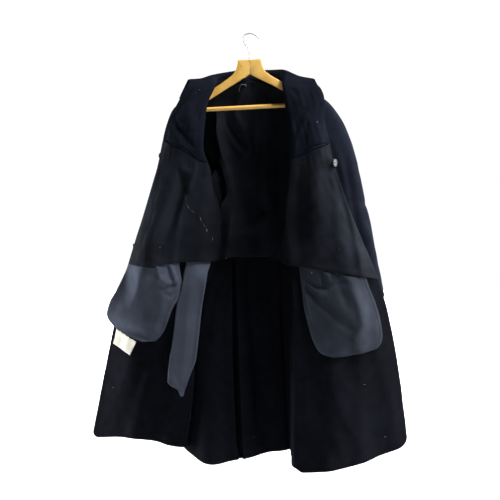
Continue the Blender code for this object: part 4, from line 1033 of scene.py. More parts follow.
def build_back_lining(looks):
    drops = spaced((0, BACK_LINING_HEM - 16, 84), (BACK_LINING_HEM - 16, BACK_LINING_HEM, 6))
    across, v = grid(spaced((0.0, 1.0, 80)), drops)
    sides = []
    for side in "rl":
        panel = "back_" + side
        widest = 0.92 + 0.08 * step_up(UNDERARM - 10, UNDERARM + 22, v)
        if side == "r":
            widest = armhole_edge(widest, drops)
        u = across * widest
        top = np.interp(u, (0, 0.3, 1.0), (3, 14, 18))
        hem = BACK_LINING_HEM + 10 * step_up(0.5, 1.0, u)
        drop = top + v * (hem - top) / BACK_LINING_HEM
        air = 13.0 * step_up(20, 90, drop)
        inset = lift(drop, hem) + 3.5 * step_up(0.45, 0.85, u) + air + 0.9 * step_up(hem - 15, hem - 12.5, drop)
        plain = cloth_at(panel, u, drop, inset)
        own = step_up(10, 40, drop) * (dents("lining_back", seen(plain)) + 0.8 * ripple(u * PANEL_WIDE[panel] * (-1 if side == "r" else 1), drop, 2.9))
        points = cloth_at(panel, u, drop, inset + np.maximum(own, -air))
        joined = step_up(0.72, 1.0, u) * step_up(UNDERARM + 2, UNDERARM + 24, drop)
        points += joined[..., None] * (lining_seam(side, drop[:, -1]) - points[:, -1])[:, None]
        sides.append(points)
    right, left = sides
    left[:, 0] = right[:, 0] = (left[:, 0] + right[:, 0]) / 2
    whole = np.concatenate([right[:, :0:-1], left], axis=1)
    SHAPES["lining_back"] = whole
    cloth("lining_back_cloth", whole, LINING, looks["lining_back"], "lining", grow=-1.0, node="lining_back", on=["back_r_cloth", "back_l_cloth"])


def build_vent(looks):
    v1 = spaced((VENT_TOP, 1165, 110))
    width = np.linalg.norm(bare("back_r", 0.2 + 0 * v1, v1) - bare("back_r", 0 * v1, v1), axis=-1) / 0.2
    t, v = grid(np.linspace(0, 1, 14), v1)
    u = 0.001 + t * (VENT_WIDE / width)[:, None]
    stand = (LAYER_GAP + 7.0 * t**2 * step_up(VENT_TOP, VENT_TOP + 160, v)) * step_up(0, 0.4, t) - 0.6 * (1 - step_up(0, 0.2, t))
    flat = bare("back_r", u.ravel(), v.ravel()).reshape(u.shape + (3,))
    out = outward("back_r", u.ravel(), v.ravel()).reshape(flat.shape)
    smooth_back = np.maximum(relief("back_r", u.ravel(), v.ravel()).reshape(u.shape), fold_depth("back_r", u.ravel(), v.ravel()).reshape(u.shape))
    points = flat - out * (smooth_back + stand)[..., None]
    SHAPES["vent_underlap"] = points
    cloth("vent_underlap_cloth", points, 2.0, looks["melton"], "melton", turn=True, grow=-1.0, node="vent_underlap", on=["back_r_cloth"])


def build_baton(looks):
    rows = rounded_rows(BATON_COLUMNS, BATON, 110)
    rows["left"] = rows["left"] - 9.0 * step_up(-880, -790, rows["z"])
    t = np.linspace(0, 1, 22)[None, :]
    x = rows["left"][:, None] + (rows["right"] - rows["left"])[:, None] * t
    z = rows["z"][:, None] + 0 * x
    points = np.stack([x, rows["y"][:, None] + 0 * x, z], axis=-1)
    u, v = seat("front_r", x, np.maximum(z, BATON[1][0] - 20), 0.06)
    on_front = laid("front_r", u, v, BAG_GAP)
    hung = step_up(BATON[1][0] - 60, BATON[1][0], z)[..., None]
    points = points * (1 - hung) + on_front * hung
    own = dents("baton_pocket", seen(points)) + 0.7 * ripple(t * 80.0, -z, 1.9) + 2.5 * np.sin(math.pi * t) + 0.7 * (1 - step_up(0.08, 0.13, np.minimum(t, 1 - t)))
    points[..., 1] -= own * step_up(-700, -735, z)
    SHAPES["baton_pocket"] = points
    # The long bag takes a lighter copy of the drill: painted light.
    cloth("baton_pocket_cloth", points, 1.8, looks["drill_painted_light"], "drill", grow=-1.0, node="baton_pocket", on=["lining_front_r_cloth"])


# The tab's corners as it lies: top left, top right, low left, low right.
TAB_CORNERS = ((-432, -953), (-357, -985), (-446, -1003), (-380, -1033))


def build_tab(looks):
    s, t = grid(np.linspace(0, 1, 40), np.linspace(0, 1, 22))
    corners = np.array(TAB_CORNERS, float)
    place = ((1 - s) * (1 - t))[..., None] * corners[0] + (s * (1 - t))[..., None] * corners[1] + ((1 - s) * t)[..., None] * corners[2] + (s * t)[..., None] * corners[3]
    frayed = np.clip(1 - t * 9, 0, 1) * (1.1 * np.sin(s * 71) + 0.9 * np.sin(s * 31 + 1) + 0.7 * np.sin(s * 127))
    place[..., 1] += frayed
    place[..., 0] += 0.6 * np.clip(s * 12 - 11, 0, 1) * np.sin(t * 60)
    u, v = seat("front_r", place[..., 0], place[..., 1], FRONT_U[3])
    corner = np.abs(2 * s - 1) ** 6 * np.abs(2 * t - 1) ** 4
    own = 0.7 * np.sin(s * 11 + 0.6) + 0.5 * np.sin(t * 7 + s * 4) + 2.0 * corner
    points = laid("front_r", np.minimum(u, 1.01), v, LAYER_GAP + np.maximum(own, -1.0))
    SHAPES["cloth_tab"] = points
    cloth("cloth_tab_cloth", points, 0.6, looks["tab"], "tab", turn=False, grow=-1.0, node="cloth_tab", held="stretched", on=["front_r_cloth"])


LOOP_PATH = [(-36, 38, -187), (-34, 36, -180), (-31, 33.2, -172), (-27, 32.4, -167.5), (-20, 34.2, -167), (-15, 36, -167.5), (-13, 37.6, -170)]


def build_loop(looks):
    """A tape folded along its middle, both ends caught under the collar."""
    path = np.array(LOOP_PATH, float)
    at = np.linspace(0, len(path) - 1, 40)
    line = smooth(np.arange(float(len(path))), np.repeat(path[:, None], 40, axis=1), at)
    along = unit(np.gradient(line, axis=0))
    out = np.array([0.0, -1.0, 0.15])
    side = unit(np.cross(along, out))
    face = unit(np.cross(side, along))
    s = np.linspace(-1, 1, 11)[:, None, None]
    tilt = 1.25 + 0.15 * np.sin(np.linspace(0, math.pi, 40))[None, :, None]
    points = line[None] + s * 5.2 * (side * np.cos(tilt) + face * np.sin(tilt)) + face[None] * 0.8 * (np.abs(s) - 0.5)
    SHAPES["hanging_loop"] = points
    cloth("hanging_loop_tape", points, 0.5, looks["tape"], "tape", grow=-1.0, node="hanging_loop", on=["collar_cloth"])


# ---- stitches, lint, buttons ---------------------------------------------------------------------------------


def bead(middle, along, out, long, wide):
    """A stitch or a fibre: a slim lozenge."""
    side = np.cross(along, out)
    ring = [middle + wide * (math.cos(q) * side + math.sin(q) * out) for q in (0.0, math.pi / 2, math.pi, 3 * math.pi / 2)]
    return [middle - along * long / 2, *ring, middle + along * long / 2]


BEAD_FACES = [(0, 2, 1), (0, 3, 2), (0, 4, 3), (0, 1, 4), (5, 1, 2), (5, 2, 3), (5, 3, 4), (5, 4, 1)]


def beads(name, made, look):
    points, faces = [], []
    for one in made:
        faces += [tuple(k + len(points) for k in face) for face in BEAD_FACES]
        points += one
    obj = mesh_of(name, np.array(points), faces, look)
    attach(obj, "root")
    return obj


# Rows of stitching: the cloth, then s and t at each end, the side they lie on (1 towards the wearer), pitch, thread thickness.
STITCH_ROWS = {
    "stitches_bags": ("drill_thread", "drill", [
        ("pocket_bag_r", (0.02, 0.055), (0.90, 0.055), 1.9, 4.0, 0.42), ("pocket_bag_r", (0.02, 0.945), (0.90, 0.945), 1.9, 4.0, 0.42), ("pocket_bag_r", (0.955, 0.10), (0.955, 0.90), 1.9, 4.0, 0.42),
        ("pocket_bag_l", (0.02, 0.055), (0.90, 0.055), 1.9, 4.0, 0.42), ("pocket_bag_l", (0.02, 0.945), (0.90, 0.945), 1.9, 4.0, 0.42), ("pocket_bag_l", (0.955, 0.10), (0.955, 0.90), 1.9, 4.0, 0.42),
        ("baton_pocket", (0.06, 0.10), (0.93, 0.10), 2.1, 4.0, 0.42), ("baton_pocket", (0.06, 0.90), (0.93, 0.90), 2.1, 4.0, 0.42),
    ]),
    "stitches_lining": ("black_thread", "lining", [
        ("lining_front_r", (0.962, 0.02), (0.962, 0.985), 1.5, 5.0, 0.35), ("lining_front_l", (0.962, 0.02), (0.962, 0.985), 1.5, 5.0, 0.35), ("lining_back", (0.962, 0.01), (0.962, 0.99), 1.5, 5.0, 0.35),
    ]),
    "stitches_shell": ("navy_thread", "melton", [
        ("pocket_welt_r", (0.14, 0.03), (0.86, 0.03), -1.8, 3.0, 0.4), ("pocket_welt_r", (0.14, 0.97), (0.86, 0.97), -1.8, 3.0, 0.4), ("pocket_welt_r", (0.86, 0.03), (0.86, 0.97), -1.8, 3.0, 0.4),
        ("pocket_welt_l", (0.14, 0.03), (0.86, 0.03), -1.8, 3.0, 0.4), ("pocket_welt_l", (0.14, 0.97), (0.86, 0.97), -1.8, 3.0, 0.4), ("pocket_welt_l", (0.86, 0.03), (0.86, 0.97), -1.8, 3.0, 0.4),
        ("vent_underlap", (0.02, 0.86), (0.99, 0.86), 2.2, 4.5, 0.4),
    ]),
    "stitches_tab": ("cream_thread", "tab", [
        ("cloth_tab", (0.07, 0.04), (0.93, 0.04), 0.75, 3.2, 0.32), ("cloth_tab", (0.07, 0.96), (0.93, 0.96), 0.75, 3.2, 0.32), ("cloth_tab", (0.93, 0.04), (0.93, 0.96), 0.75, 3.2, 0.32), ("cloth_tab", (0.07, 0.04), (0.07, 0.96), 0.75, 3.2, 0.32),
    ]),
}


def build_stitches(looks):
    for name, (look, slot, rows) in STITCH_ROWS.items():
        made = []
        for cloth_name, first, last, height, pitch, thick in rows:
            shape = SHAPES[cloth_name]
            t = np.linspace(0, 1, 400)
            s, c = first[0] + (last[0] - first[0]) * t, first[1] + (last[1] - first[1]) * t
            line = on_grid(shape, s, c)
            down = on_grid(shape, s + 0.012, c) - on_grid(shape, s - 0.012, c)
            over = on_grid(shape, s, c + 0.012) - on_grid(shape, s, c - 0.012)
            face = unit(np.cross(over, down))
            face *= -np.sign(face[:, 1:2]) * np.sign(height)
            run = np.concatenate([[0], np.cumsum(np.linalg.norm(np.diff(line, axis=0), axis=-1))])
            for k, place in enumerate(np.arange(pitch, run[-1], pitch)):
                at = np.array([np.interp(place, run, line[:, i]) for i in range(3)])
                out = unit(np.array([np.interp(place, run, face[:, i]) for i in range(3)]))
                ahead = np.array([np.interp(place + 1.0, run, line[:, i]) for i in range(3)]) - np.array([np.interp(place - 1.0, run, line[:, i]) for i in range(3)])
                along = unit(ahead - out * (ahead @ out))
                skew = along + 0.12 * math.sin(3.1 * k) * np.cross(along, out)
                made.append(bead(at + out * (abs(height) + 0.1), unit(skew), out, pitch * 0.68, thick))
        beads(name, made, looks[look])


# Lint and loose ends seen on the dark cloth: the cloth, then the places of each fibre as seen, and its thickness (mm).
LINT = [
    ("lining_front_r", ((184.5, 195), (187, 203), (189.5, 210), (194.5, 215)), 0.2), ("lining_front_r", ((200, 218), (202.5, 221.8)), 0.5), ("lining_front_r", ((202.5, 221.8), (206.5, 227)), 0.24),
    ("lining_front_r", ((207.2, 227.6), (208.2, 231)), 1.1),
    ("lining_front_r", ((213, 236), (214, 240)), 0.45), ("lining_front_r", ((161, 247), (161.5, 247.6)), 0.7), ("lining_front_r", ((183, 251), (183.4, 251.6)), 0.5),
    ("lining_back", ((225, 256), (229, 259)), 0.5), ("lining_front_l", ((300, 163), (300.4, 164)), 0.6), ("lining_front_l", ((338, 248), (338.4, 248.6)), 0.8),
    ("facing_r", ((180, 124), (180.4, 124.8)), 0.7), ("facing_r", ((200, 89), (200.4, 89.6)), 0.5), ("facing_l", ((318, 121), (318.4, 121.6)), 0.5),
    ("front_r", ((112, 387), (112.6, 387.4)), 0.7), ("front_l", ((364, 386), (367, 384)), 0.4), ("front_l", ((386, 437), (386.4, 437.4)), 0.7),
    ("back_l", ((243, 433), (243.6, 433.6)), 1.1), ("pocket_bag_l", ((310, 272.5), (310.6, 273)), 1.1), ("pocket_bag_r", ((140, 300), (141, 301)), 0.35),
]


def spot(shape, px):
    """The point of a cloth that is seen at a pixel, the nearest to the camera if more than one."""
    flat = shape.reshape(-1, 3)
    apart = np.linalg.norm(seen(flat) - np.asarray(px, float), axis=-1)
    close = np.flatnonzero(apart < apart.min() + 1.2)
    return flat[close[np.argmin(flat[close, 1])]]


def build_lint(looks):
    made = []
    for cloth_name, places, thick in LINT:
        ends = np.array([spot(SHAPES[cloth_name], px) for px in places])
        rise = 3.2 if cloth_name.startswith("facing") else 2.6
        ends[:, 1] -= rise
        for a, b in zip(ends, ends[1:]):
            if np.linalg.norm(b - a) < 1.0:
                b = a + np.array([1.6, 0.0, 0.9])
            along = unit(b - a)
            out = unit(np.array([0.0, -1.0, 0.0]) + along * along[1])
            made.append(bead((a + b) / 2, along, out, np.linalg.norm(b - a) * 1.05, thick))
    beads("lint", made, looks["lint"])


def turned_part(name, profile, steps, look, slot):
    shape = bmesh.new()
    angles = np.linspace(0, 2 * math.pi, steps, endpoint=False)
    rings = []
    for r, h in profile:
        if r < 1e-6:
            rings.append([shape.verts.new((0, 0, h * MM))])
        else:
            rings.append([shape.verts.new((r * MM * math.cos(a), r * MM * math.sin(a), h * MM)) for a in angles])
    for low, high in zip(rings, rings[1:]):
        for k in range(steps):
            a, b = low[k % len(low)], low[(k + 1) % len(low)]
            c, d = high[(k + 1) % len(high)], high[k % len(high)]
            shape.faces.new([v for i, v in enumerate((a, b, c, d)) if v not in (a, b, c, d)[:i]])
    bmesh.ops.recalc_face_normals(shape, faces=shape.faces)
    mesh = bpy.data.meshes.new(name)
    shape.to_mesh(mesh)
    shape.free()
    mesh.materials.append(look)
    obj = bpy.data.objects.new(name, mesh)
    bpy.context.scene.collection.objects.link(obj)
    return obj


def arc(cx, cy, r, first, last, count):
    return [(cx + r * math.cos(math.radians(a)), cy + r * math.sin(math.radians(a))) for a in np.linspace(first, last, count)]


def build_buttons(looks):
    r, k, foot = BUTTON_RADIUS, BUTTON_THICK, SHANK_LONG
    profile = [(0, foot), (r - 3.0, foot)] + arc(r - 1.6, foot + 1.6, 1.6, -90, 0, 6) + arc(r - 1.7, foot + k - 1.6, 1.7, 0, 115, 9)
    profile += [(r - 3.6, foot + k - 0.9), (r - 4.6, foot + k - 1.25), (r - 6.5, foot + k - 1.4), (0, foot + k - 1.5)]
    for side in "rl":
        drop, u, inset, turn = BUTTONS[side]
        edge = cloth_at("front_" + side, np.array([u]), np.array([float(drop)]), inset)[0]
        way = np.array([math.cos(math.radians(turn)), math.sin(math.radians(turn)), 0.0])
        place = Matrix.Translation(Vector((edge + way * (BUTTON_OFF - 0.6 * inset) + np.array(DATUM)) * MM))
        place = place @ Matrix.Rotation(math.radians(turn), 4, "Z") @ Matrix.Rotation(math.radians(90), 4, "Y")
        disc = turned_part("button_" + side + "_disc", profile, 56, looks["horn"], "horn")
        cutter = bmesh.new()
        for a in (45, 135, 225, 315):
            spot_at = Matrix.Translation((2.3 * MM * math.cos(math.radians(a)), 2.3 * MM * math.sin(math.radians(a)), (foot + k / 2) * MM))
            bmesh.ops.create_cone(cutter, cap_ends=True, segments=16, radius1=0.95 * MM, radius2=0.95 * MM, depth=12 * MM, matrix=spot_at)
        holes_mesh = bpy.data.meshes.new("holes")
        cutter.to_mesh(holes_mesh)
        cutter.free()
        holes = bpy.data.objects.new("holes", holes_mesh)
        bpy.context.scene.collection.objects.link(holes)
        cut = disc.modifiers.new("holes", "BOOLEAN")
        cut.object, cut.operation, cut.solver = holes, "DIFFERENCE", "EXACT"
        bpy.context.view_layer.update()
        made = bpy.data.meshes.new_from_object(disc.evaluated_get(bpy.context.evaluated_depsgraph_get()))
        disc.modifiers.clear()
        disc.data = made
        made.shade_smooth()
        made.set_sharp_from_angle(angle=math.radians(50))
        bpy.data.objects.remove(holes)
        disc.matrix_world = place
        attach(disc, "root")
        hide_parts("button_" + side)

        # The thread: a wound shank under the disc and two bars over its face.
        shank = turned_part("button_" + side + "_thread", [(0, -3.4)] + [(1.9 + 0.22 * (n % 2), -3.4 + 0.6 * n) for n in range(14)] + [(0, foot + 0.5)], 14, looks["navy_thread"], "melton")
        bars = bmesh.new()
        bars.from_mesh(shank.data)
        for way_along, off in ((0, 1.63), (0, -1.63)):
            bar = Matrix.Translation((0, off * MM, (foot + k - 1.15) * MM)) @ Matrix.Rotation(math.radians(90), 4, "Y")
            bmesh.ops.create_cone(bars, cap_ends=True, segments=10, radius1=0.62 * MM, radius2=0.62 * MM, depth=4.4 * MM, matrix=bar)
        bars.to_mesh(shank.data)
        bars.free()
        shank.data.shade_smooth()
        shank.matrix_world = place
        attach(shank, "root")


# ---- hanger --------------------------------------------------------------------------------------------------


def upright():
    return Matrix.Translation(Vector(((HANGER_MIDDLE[0] + DATUM[0]) * MM, DATUM[1] * MM, (HANGER_MIDDLE[1] + DATUM[2]) * MM))) @ Matrix.Rotation(-math.radians(HANGER_TILT), 4, "Y")


def arm_outline():
    """Half the hanger's outline, its bends eased."""
    corners = np.array(HANGER_HALF, float)
    ease = (0.8, 2.0, 10.0, 7.0, 9.0, 14.0, 14.0, 5.0, 5.0, 5.0, 12.0, 12.0, 0.8)
    out = []
    for k, radius in enumerate(ease):
        here, before, after = corners[k], corners[k - 1], corners[(k + 1) % len(corners)]
        a, b = unit(before - here), unit(after - here)
        reach = min(radius, 0.45 * np.linalg.norm(before - here), 0.45 * np.linalg.norm(after - here))
        for t in np.linspace(0, 1, 7):
            out.append((1 - t) ** 2 * (here + a * reach) + 2 * t * (1 - t) * here + t**2 * (here + b * reach))
    return np.array(out)


def from_curve(name, curve, look, node, place):
    """A curve's mesh as a piece of its own."""
    holder = bpy.data.objects.new(name + "_path", curve)
    bpy.context.scene.collection.objects.link(holder)
    bpy.context.view_layer.update()
    mesh = bpy.data.meshes.new_from_object(holder.evaluated_get(bpy.context.evaluated_depsgraph_get()))
    bpy.data.objects.remove(holder)
    mesh.materials.clear()
    mesh.materials.append(look)
    weld = bmesh.new()
    weld.from_mesh(mesh)
    bmesh.ops.remove_doubles(weld, verts=weld.verts, dist=1e-6)
    weld.to_mesh(mesh)
    weld.free()
    mesh.shade_smooth()
    mesh.set_sharp_from_angle(angle=math.radians(40))
    obj = bpy.data.objects.new(name, mesh)
    bpy.context.scene.collection.objects.link(obj)
    obj.matrix_world = place
    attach(obj, "root")
    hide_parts(node)
    return obj


def build_hanger(looks):
    outline = arm_outline()
    for side, way in (("r", -1), ("l", 1)):
        flat = bpy.data.curves.new("arm_" + side, "CURVE")
        flat.dimensions = "2D"
        flat.fill_mode = "BOTH"
        flat.extrude = (HANGER_THICK / 2 - HANGER_EASE) * MM
        flat.bevel_depth = HANGER_EASE * MM
        flat.bevel_resolution = 4
        flat.offset = -HANGER_EASE * MM
        spline = flat.splines.new("POLY")
        spline.points.add(len(outline) - 1)
        for point, (x, z) in zip(spline.points, outline):
            point.co = (way * x * MM, z * MM, 0.0, 1.0)
        spline.use_cyclic_u = True
        from_curve("hanger_arm_" + side + "_wood", flat, looks["wood_" + side], "hanger_arm_" + side, upright() @ Matrix.Rotation(math.radians(90), 4, "X"))

    profile = [(0, -BAR_HALF), (BAR_RADIUS - 1.0, -BAR_HALF), (BAR_RADIUS, -BAR_HALF + 1.0)] + [(BAR_RADIUS, z) for z in np.linspace(-BAR_HALF + 8, BAR_HALF - 8, 24)]
    profile += [(BAR_RADIUS, BAR_HALF - 1.0), (BAR_RADIUS - 1.0, BAR_HALF), (0, BAR_HALF)]
    bar = turned_part("hanger_bar_wood", profile, 40, looks["wood_bar"], "wood")
    bar.data.shade_smooth()
    bar.data.set_sharp_from_angle(angle=math.radians(40))
    bar.matrix_world = upright() @ Matrix.Translation((0, 0, (BAR_LEVEL - 4.0) * MM)) @ Matrix.Rotation(math.radians(90), 4, "Y")
    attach(bar, "root")
    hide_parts("hanger_bar")

    wire = bpy.data.curves.new("hook", "CURVE")
    wire.dimensions = "3D"
    path = np.array(HOOK, float)
    run = np.concatenate([[0], np.cumsum(np.linalg.norm(np.diff(path, axis=0), axis=-1))])
    places = np.linspace(0, run[-1], 120)
    full = np.stack([path[:, 0], 0 * path[:, 0], path[:, 1]], axis=-1)
    points = smooth(run, np.repeat(full[:, None], len(places), axis=1), places)
    spline = wire.splines.new("POLY")
    spline.points.add(len(points) - 1)
    for point, place in zip(spline.points, points):
        point.co = (*((place + np.array(DATUM)) * MM), 1.0)
    wire.bevel_depth = HOOK_RADIUS * MM
    wire.bevel_resolution = 6
    wire.use_fill_caps = True
    from_curve("hanger_hook_wire", wire, looks["steel"], "hanger_hook", Matrix.Identity(4))


# ---- materials -----------------------------------------------------------------------------------------------


class Look:
    """A small helper to write node materials."""

    def __init__(self, name):
        self.made = bpy.data.materials.new(name)
        self.made.use_nodes = True
        self.tree = self.made.node_tree
        self.shader = self.tree.nodes["Principled BSDF"]
        self.places = self.tree.nodes.new("ShaderNodeTexCoord")

    def node(self, kind, **values):
        made = self.tree.nodes.new(kind)
        for name, value in values.items():
            setattr(made, name, value)
        return made

    def link(self, a, b):
        self.tree.links.new(a, b)

    def at(self, what="Object", scale=(1, 1, 1), turn=(0, 0, 0)):
        made = self.node("ShaderNodeMapping")
        self.link(self.places.outputs[what], made.inputs["Vector"])
        made.inputs["Scale"].default_value = scale
        made.inputs["Rotation"].default_value = turn
        return made.outputs["Vector"]

    def noise(self, scale, detail=2.0, rough=0.5, at=None, distort=0.0):
        made = self.node("ShaderNodeTexNoise")
        self.link(at or self.at(), made.inputs["Vector"])
        made.inputs["Scale"].default_value = scale
        made.inputs["Detail"].default_value = detail
        made.inputs["Roughness"].default_value = rough
        made.inputs["Distortion"].default_value = distort
        return made.outputs["Fac"]

    def wave(self, scale, at, kind="DIAGONAL", distort=0.0, detail=2.0, detail_scale=1.0):
        made = self.node("ShaderNodeTexWave", wave_type="BANDS", bands_direction=kind)
        self.link(at, made.inputs["Vector"])
        made.inputs["Scale"].default_value = scale
        made.inputs["Distortion"].default_value = distort
        made.inputs["Detail"].default_value = detail
        made.inputs["Detail Scale"].default_value = detail_scale
        return made.outputs["Fac"]

    def maths(self, how, a, b=None, c=None):
        made = self.node("ShaderNodeMath", operation=how)
        for slot, value in zip(made.inputs, (a, b, c)):
            if value is None:
                continue
            if isinstance(value, (int, float)):
                slot.default_value = value
            else:
                self.link(value, slot)
        return made.outputs[0]

    def span(self, value, low, high, to_low=0.0, to_high=1.0):
        made = self.node("ShaderNodeMapRange")
        self.link(value, made.inputs["Value"])
        for name, number in (("From Min", low), ("From Max", high), ("To Min", to_low), ("To Max", to_high)):
            made.inputs[name].default_value = number
        return made.outputs["Result"]

    def blend(self, share, a, b):
        made = self.node("ShaderNodeMix", data_type="RGBA")
        self.link(share, made.inputs["Factor"])
        for slot, value in ((made.inputs[6], a), (made.inputs[7], b)):
            if isinstance(value, tuple):
                slot.default_value = (*value, 1.0)
            else:
                self.link(value, slot)
        return made.outputs[2]

    def bump(self, height, strength, distance, under=None):
        made = self.node("ShaderNodeBump")
        self.link(height, made.inputs["Height"])
        made.inputs["Strength"].default_value = strength
        made.inputs["Distance"].default_value = distance
        if under:
            self.link(under, made.inputs["Normal"])
        return made.outputs["Normal"]

    def specks(self, scale, size, share):
        """Sparse round specks: 1 on a speck, 0 elsewhere."""
        made = self.node("ShaderNodeTexVoronoi")
        self.link(self.at(), made.inputs["Vector"])
        made.inputs["Scale"].default_value = scale
        tone = self.node("ShaderNodeSeparateColor")
        self.link(made.outputs["Color"], tone.inputs["Color"])
        kept = self.maths("LESS_THAN", tone.outputs[0], share)
        return self.maths("MULTIPLY", kept, self.span(made.outputs["Distance"], size, size * 0.5))

    def done(self, colour, roughness, normal=None, **constants):
        for name, value in (("Base Color", colour), ("Roughness", roughness)):
            slot = self.shader.inputs[name]
            if isinstance(value, tuple):
                slot.default_value = (*value, 1.0)
            elif isinstance(value, (int, float)):
                slot.default_value = value
            else:
                self.link(value, slot)
        if normal:
            self.link(normal, self.shader.inputs["Normal"])
        for name, value in constants.items():
            self.shader.inputs[name.replace("_", " ")].default_value = (*value, 1.0) if isinstance(value, tuple) else value
        return self.made


def wool(name, dark, light, sheen, lint):
    """Felted wool: short nap, slight mottle, a few specks of lint."""
    k = Look(name)
    nap = k.noise(1500, 2.0, 0.6)
    fibre = k.noise(420, 3.0, 0.6, at=k.at(scale=(1.0, 1.0, 0.45)))
    mottle = k.noise(34, 4.0, 0.6)
    worn = k.noise(6.0, 2.0, 0.5)
    tone = k.maths("ADD", k.maths("MULTIPLY", nap, 0.35), k.maths("ADD", k.maths("MULTIPLY", fibre, 0.35), k.maths("ADD", k.maths("MULTIPLY", mottle, 0.35), k.maths("MULTIPLY", worn, 0.25))))
    colour = k.blend(k.span(tone, 0.50, 0.80), dark, light)
    colour = k.blend(k.maths("MULTIPLY", k.specks(55, 0.035, lint), 0.6), colour, (0.30, 0.31, 0.33))
    normal = k.bump(nap, 0.35, 0.0006, k.bump(fibre, 0.35, 0.0009, k.bump(mottle, 0.25, 0.002)))
    return k.done(colour, k.span(nap, 0.3, 0.7, 0.85, 1.0), normal, Specular_IOR_Level=0.015, Sheen_Weight=sheen, Sheen_Roughness=0.35, Sheen_Tint=(0.62, 0.68, 1.0))


def twill(name, dark, light, period, gloss, spec, sheen, lint=0.0, wear=0.5, painted_shade_factor=1.0, painted_edge_light=None):
    """Woven twill: fine diagonal ribs, uneven yarns, soft wear; a shade factor below 1 darkens it as painted shade from
    x = -0.115 m towards the coat's middle and right.

    The last argument, a pair of factors, paints shade towards the coat's middle and light towards the front edges."""
    k = Look(name)
    flat = k.at("UV")
    ribs = k.wave(0.628 / period, flat, "DIAGONAL", 0.6, 1.0, 2.0)
    yarn = k.noise(1.0, 2.0, 0.6, at=k.at("UV", (1400, 260, 1)))
    weft = k.noise(1.0, 2.0, 0.6, at=k.at("UV", (240, 1300, 1)))
    mottle = k.noise(26, 4.0, 0.6)
    worn = k.noise(7.0, 3.0, 0.55)
    tone = k.maths("ADD", k.maths("MULTIPLY", ribs, 0.22), k.maths("ADD", k.maths("MULTIPLY", k.maths("ADD", yarn, weft), 0.2), k.maths("ADD", k.maths("MULTIPLY", mottle, 0.3), k.maths("MULTIPLY", worn, wear))))
    colour = k.blend(k.span(tone, 0.49 + 0.2 * wear, 0.54 + 0.72 * wear), dark, light)
    # Painted light and shade: lighter towards the front edges and darker towards the coat's middle, by the distance
    # from the middle in x.
    if painted_edge_light:
        place = k.node("ShaderNodeSeparateXYZ")
        k.link(k.places.outputs["Object"], place.inputs[0])
        outer = k.span(k.maths("ABSOLUTE", place.outputs["X"], 0.0), 0.19, 0.33)
        even = k.span(tone, 0.49 + 0.2 * wear, 0.54 + 0.72 * wear)
        shaded_colour, lit_colour = (k.blend(even, tuple(c * f for c in dark), tuple(c * f for c in light)) for f in painted_edge_light)
        colour = k.blend(outer, shaded_colour, lit_colour)
    # Painted shade: darker by this factor from x = -0.115 m towards the coat's middle and right, where the back lining
    # lies in shade.
    if painted_shade_factor < 1:
        place = k.node("ShaderNodeSeparateXYZ")
        k.link(k.places.outputs["Object"], place.inputs[0])
        middle = k.span(place.outputs["X"], -0.115, -0.045)
        colour = k.blend(middle, colour, k.blend(k.span(tone, 0.49 + 0.2 * wear, 0.54 + 0.72 * wear), tuple(c * painted_shade_factor for c in dark), tuple(c * painted_shade_factor for c in light)))
    if lint:
        colour = k.blend(k.maths("MULTIPLY", k.specks(60, 0.03, lint), 0.55), colour, (0.28, 0.29, 0.31))
    normal = k.bump(ribs, 0.3, 0.00025, k.bump(yarn, 0.25, 0.0003, k.bump(mottle, 0.4, 0.0025)))
    return k.done(colour, k.span(worn, 0.3, 0.7, gloss, min(gloss + 0.14, 1.0)), normal, Specular_IOR_Level=spec, Sheen_Weight=sheen, Sheen_Roughness=0.45, Sheen_Tint=(0.75, 0.8, 1.0))


def satin(name, dark, light):
    k = Look(name)
    float_yarn = k.noise(1.0, 2.0, 0.5, at=k.at("UV", (2200, 160, 1)))
    mottle = k.noise(30, 3.0, 0.5)
    colour = k.blend(mottle, dark, light)
    normal = k.bump(float_yarn, 0.25, 0.0002, k.bump(mottle, 0.3, 0.002))
    return k.done(colour, k.span(float_yarn, 0.3, 0.7, 0.24, 0.36), normal, Specular_IOR_Level=0.6)


def timber(name, way):
    """Pale clear-varnished wood, its grain along way (an angle in the hanger's plane)."""
    k = Look(name)
    turn = (0, math.radians(way), 0)
    along = k.at(scale=(9, 60, 60), turn=turn)
    fine = k.at(scale=(30, 700, 700), turn=turn)
    grain = k.wave(1.3, along, "Z", 3.0, 3.0, 1.4)
    pores = k.noise(1.0, 3.0, 0.65, at=fine)
    cloud = k.noise(14, 3.0, 0.5)
    colour = k.blend(k.span(grain, 0.2, 0.9), (0.98, 0.60, 0.145), (0.88, 0.485, 0.095))
    colour = k.blend(k.span(pores, 0.55, 0.8), colour, (0.70, 0.36, 0.072))
    colour = k.blend(k.span(cloud, 0.35, 0.7, 0.0, 0.4), colour, (0.98, 0.66, 0.21))
    normal = k.bump(pores, 0.12, 0.0002)
    return k.done(colour, k.span(pores, 0.3, 0.8, 0.34, 0.5), normal, Specular_IOR_Level=0.4, Coat_Weight=0.25, Coat_Roughness=0.2)


def wire_steel(name):
    k = Look(name)
    drawn = k.noise(1.0, 2.0, 0.5, at=k.at(scale=(300, 300, 60)))
    spots = k.noise(220, 3.0, 0.6)
    colour = k.blend(k.span(spots, 0.45, 0.75), (0.53, 0.525, 0.51), (0.43, 0.425, 0.41))
    return k.done(colour, k.span(drawn, 0.3, 0.7, 0.5, 0.65), k.bump(drawn, 0.1, 0.0001), Metallic=0.15)


def horn_look(name):
    k = Look(name)
    cloud = k.noise(160, 4.0, 0.6, distort=1.2)
    fine = k.noise(900, 2.0, 0.5)
    colour = k.blend(k.span(cloud, 0.35, 0.75), (0.006, 0.006, 0.008), (0.03, 0.027, 0.026))
    return k.done(colour, k.span(fine, 0.3, 0.7, 0.34, 0.48), k.bump(fine, 0.08, 0.0001), Specular_IOR_Level=0.35)


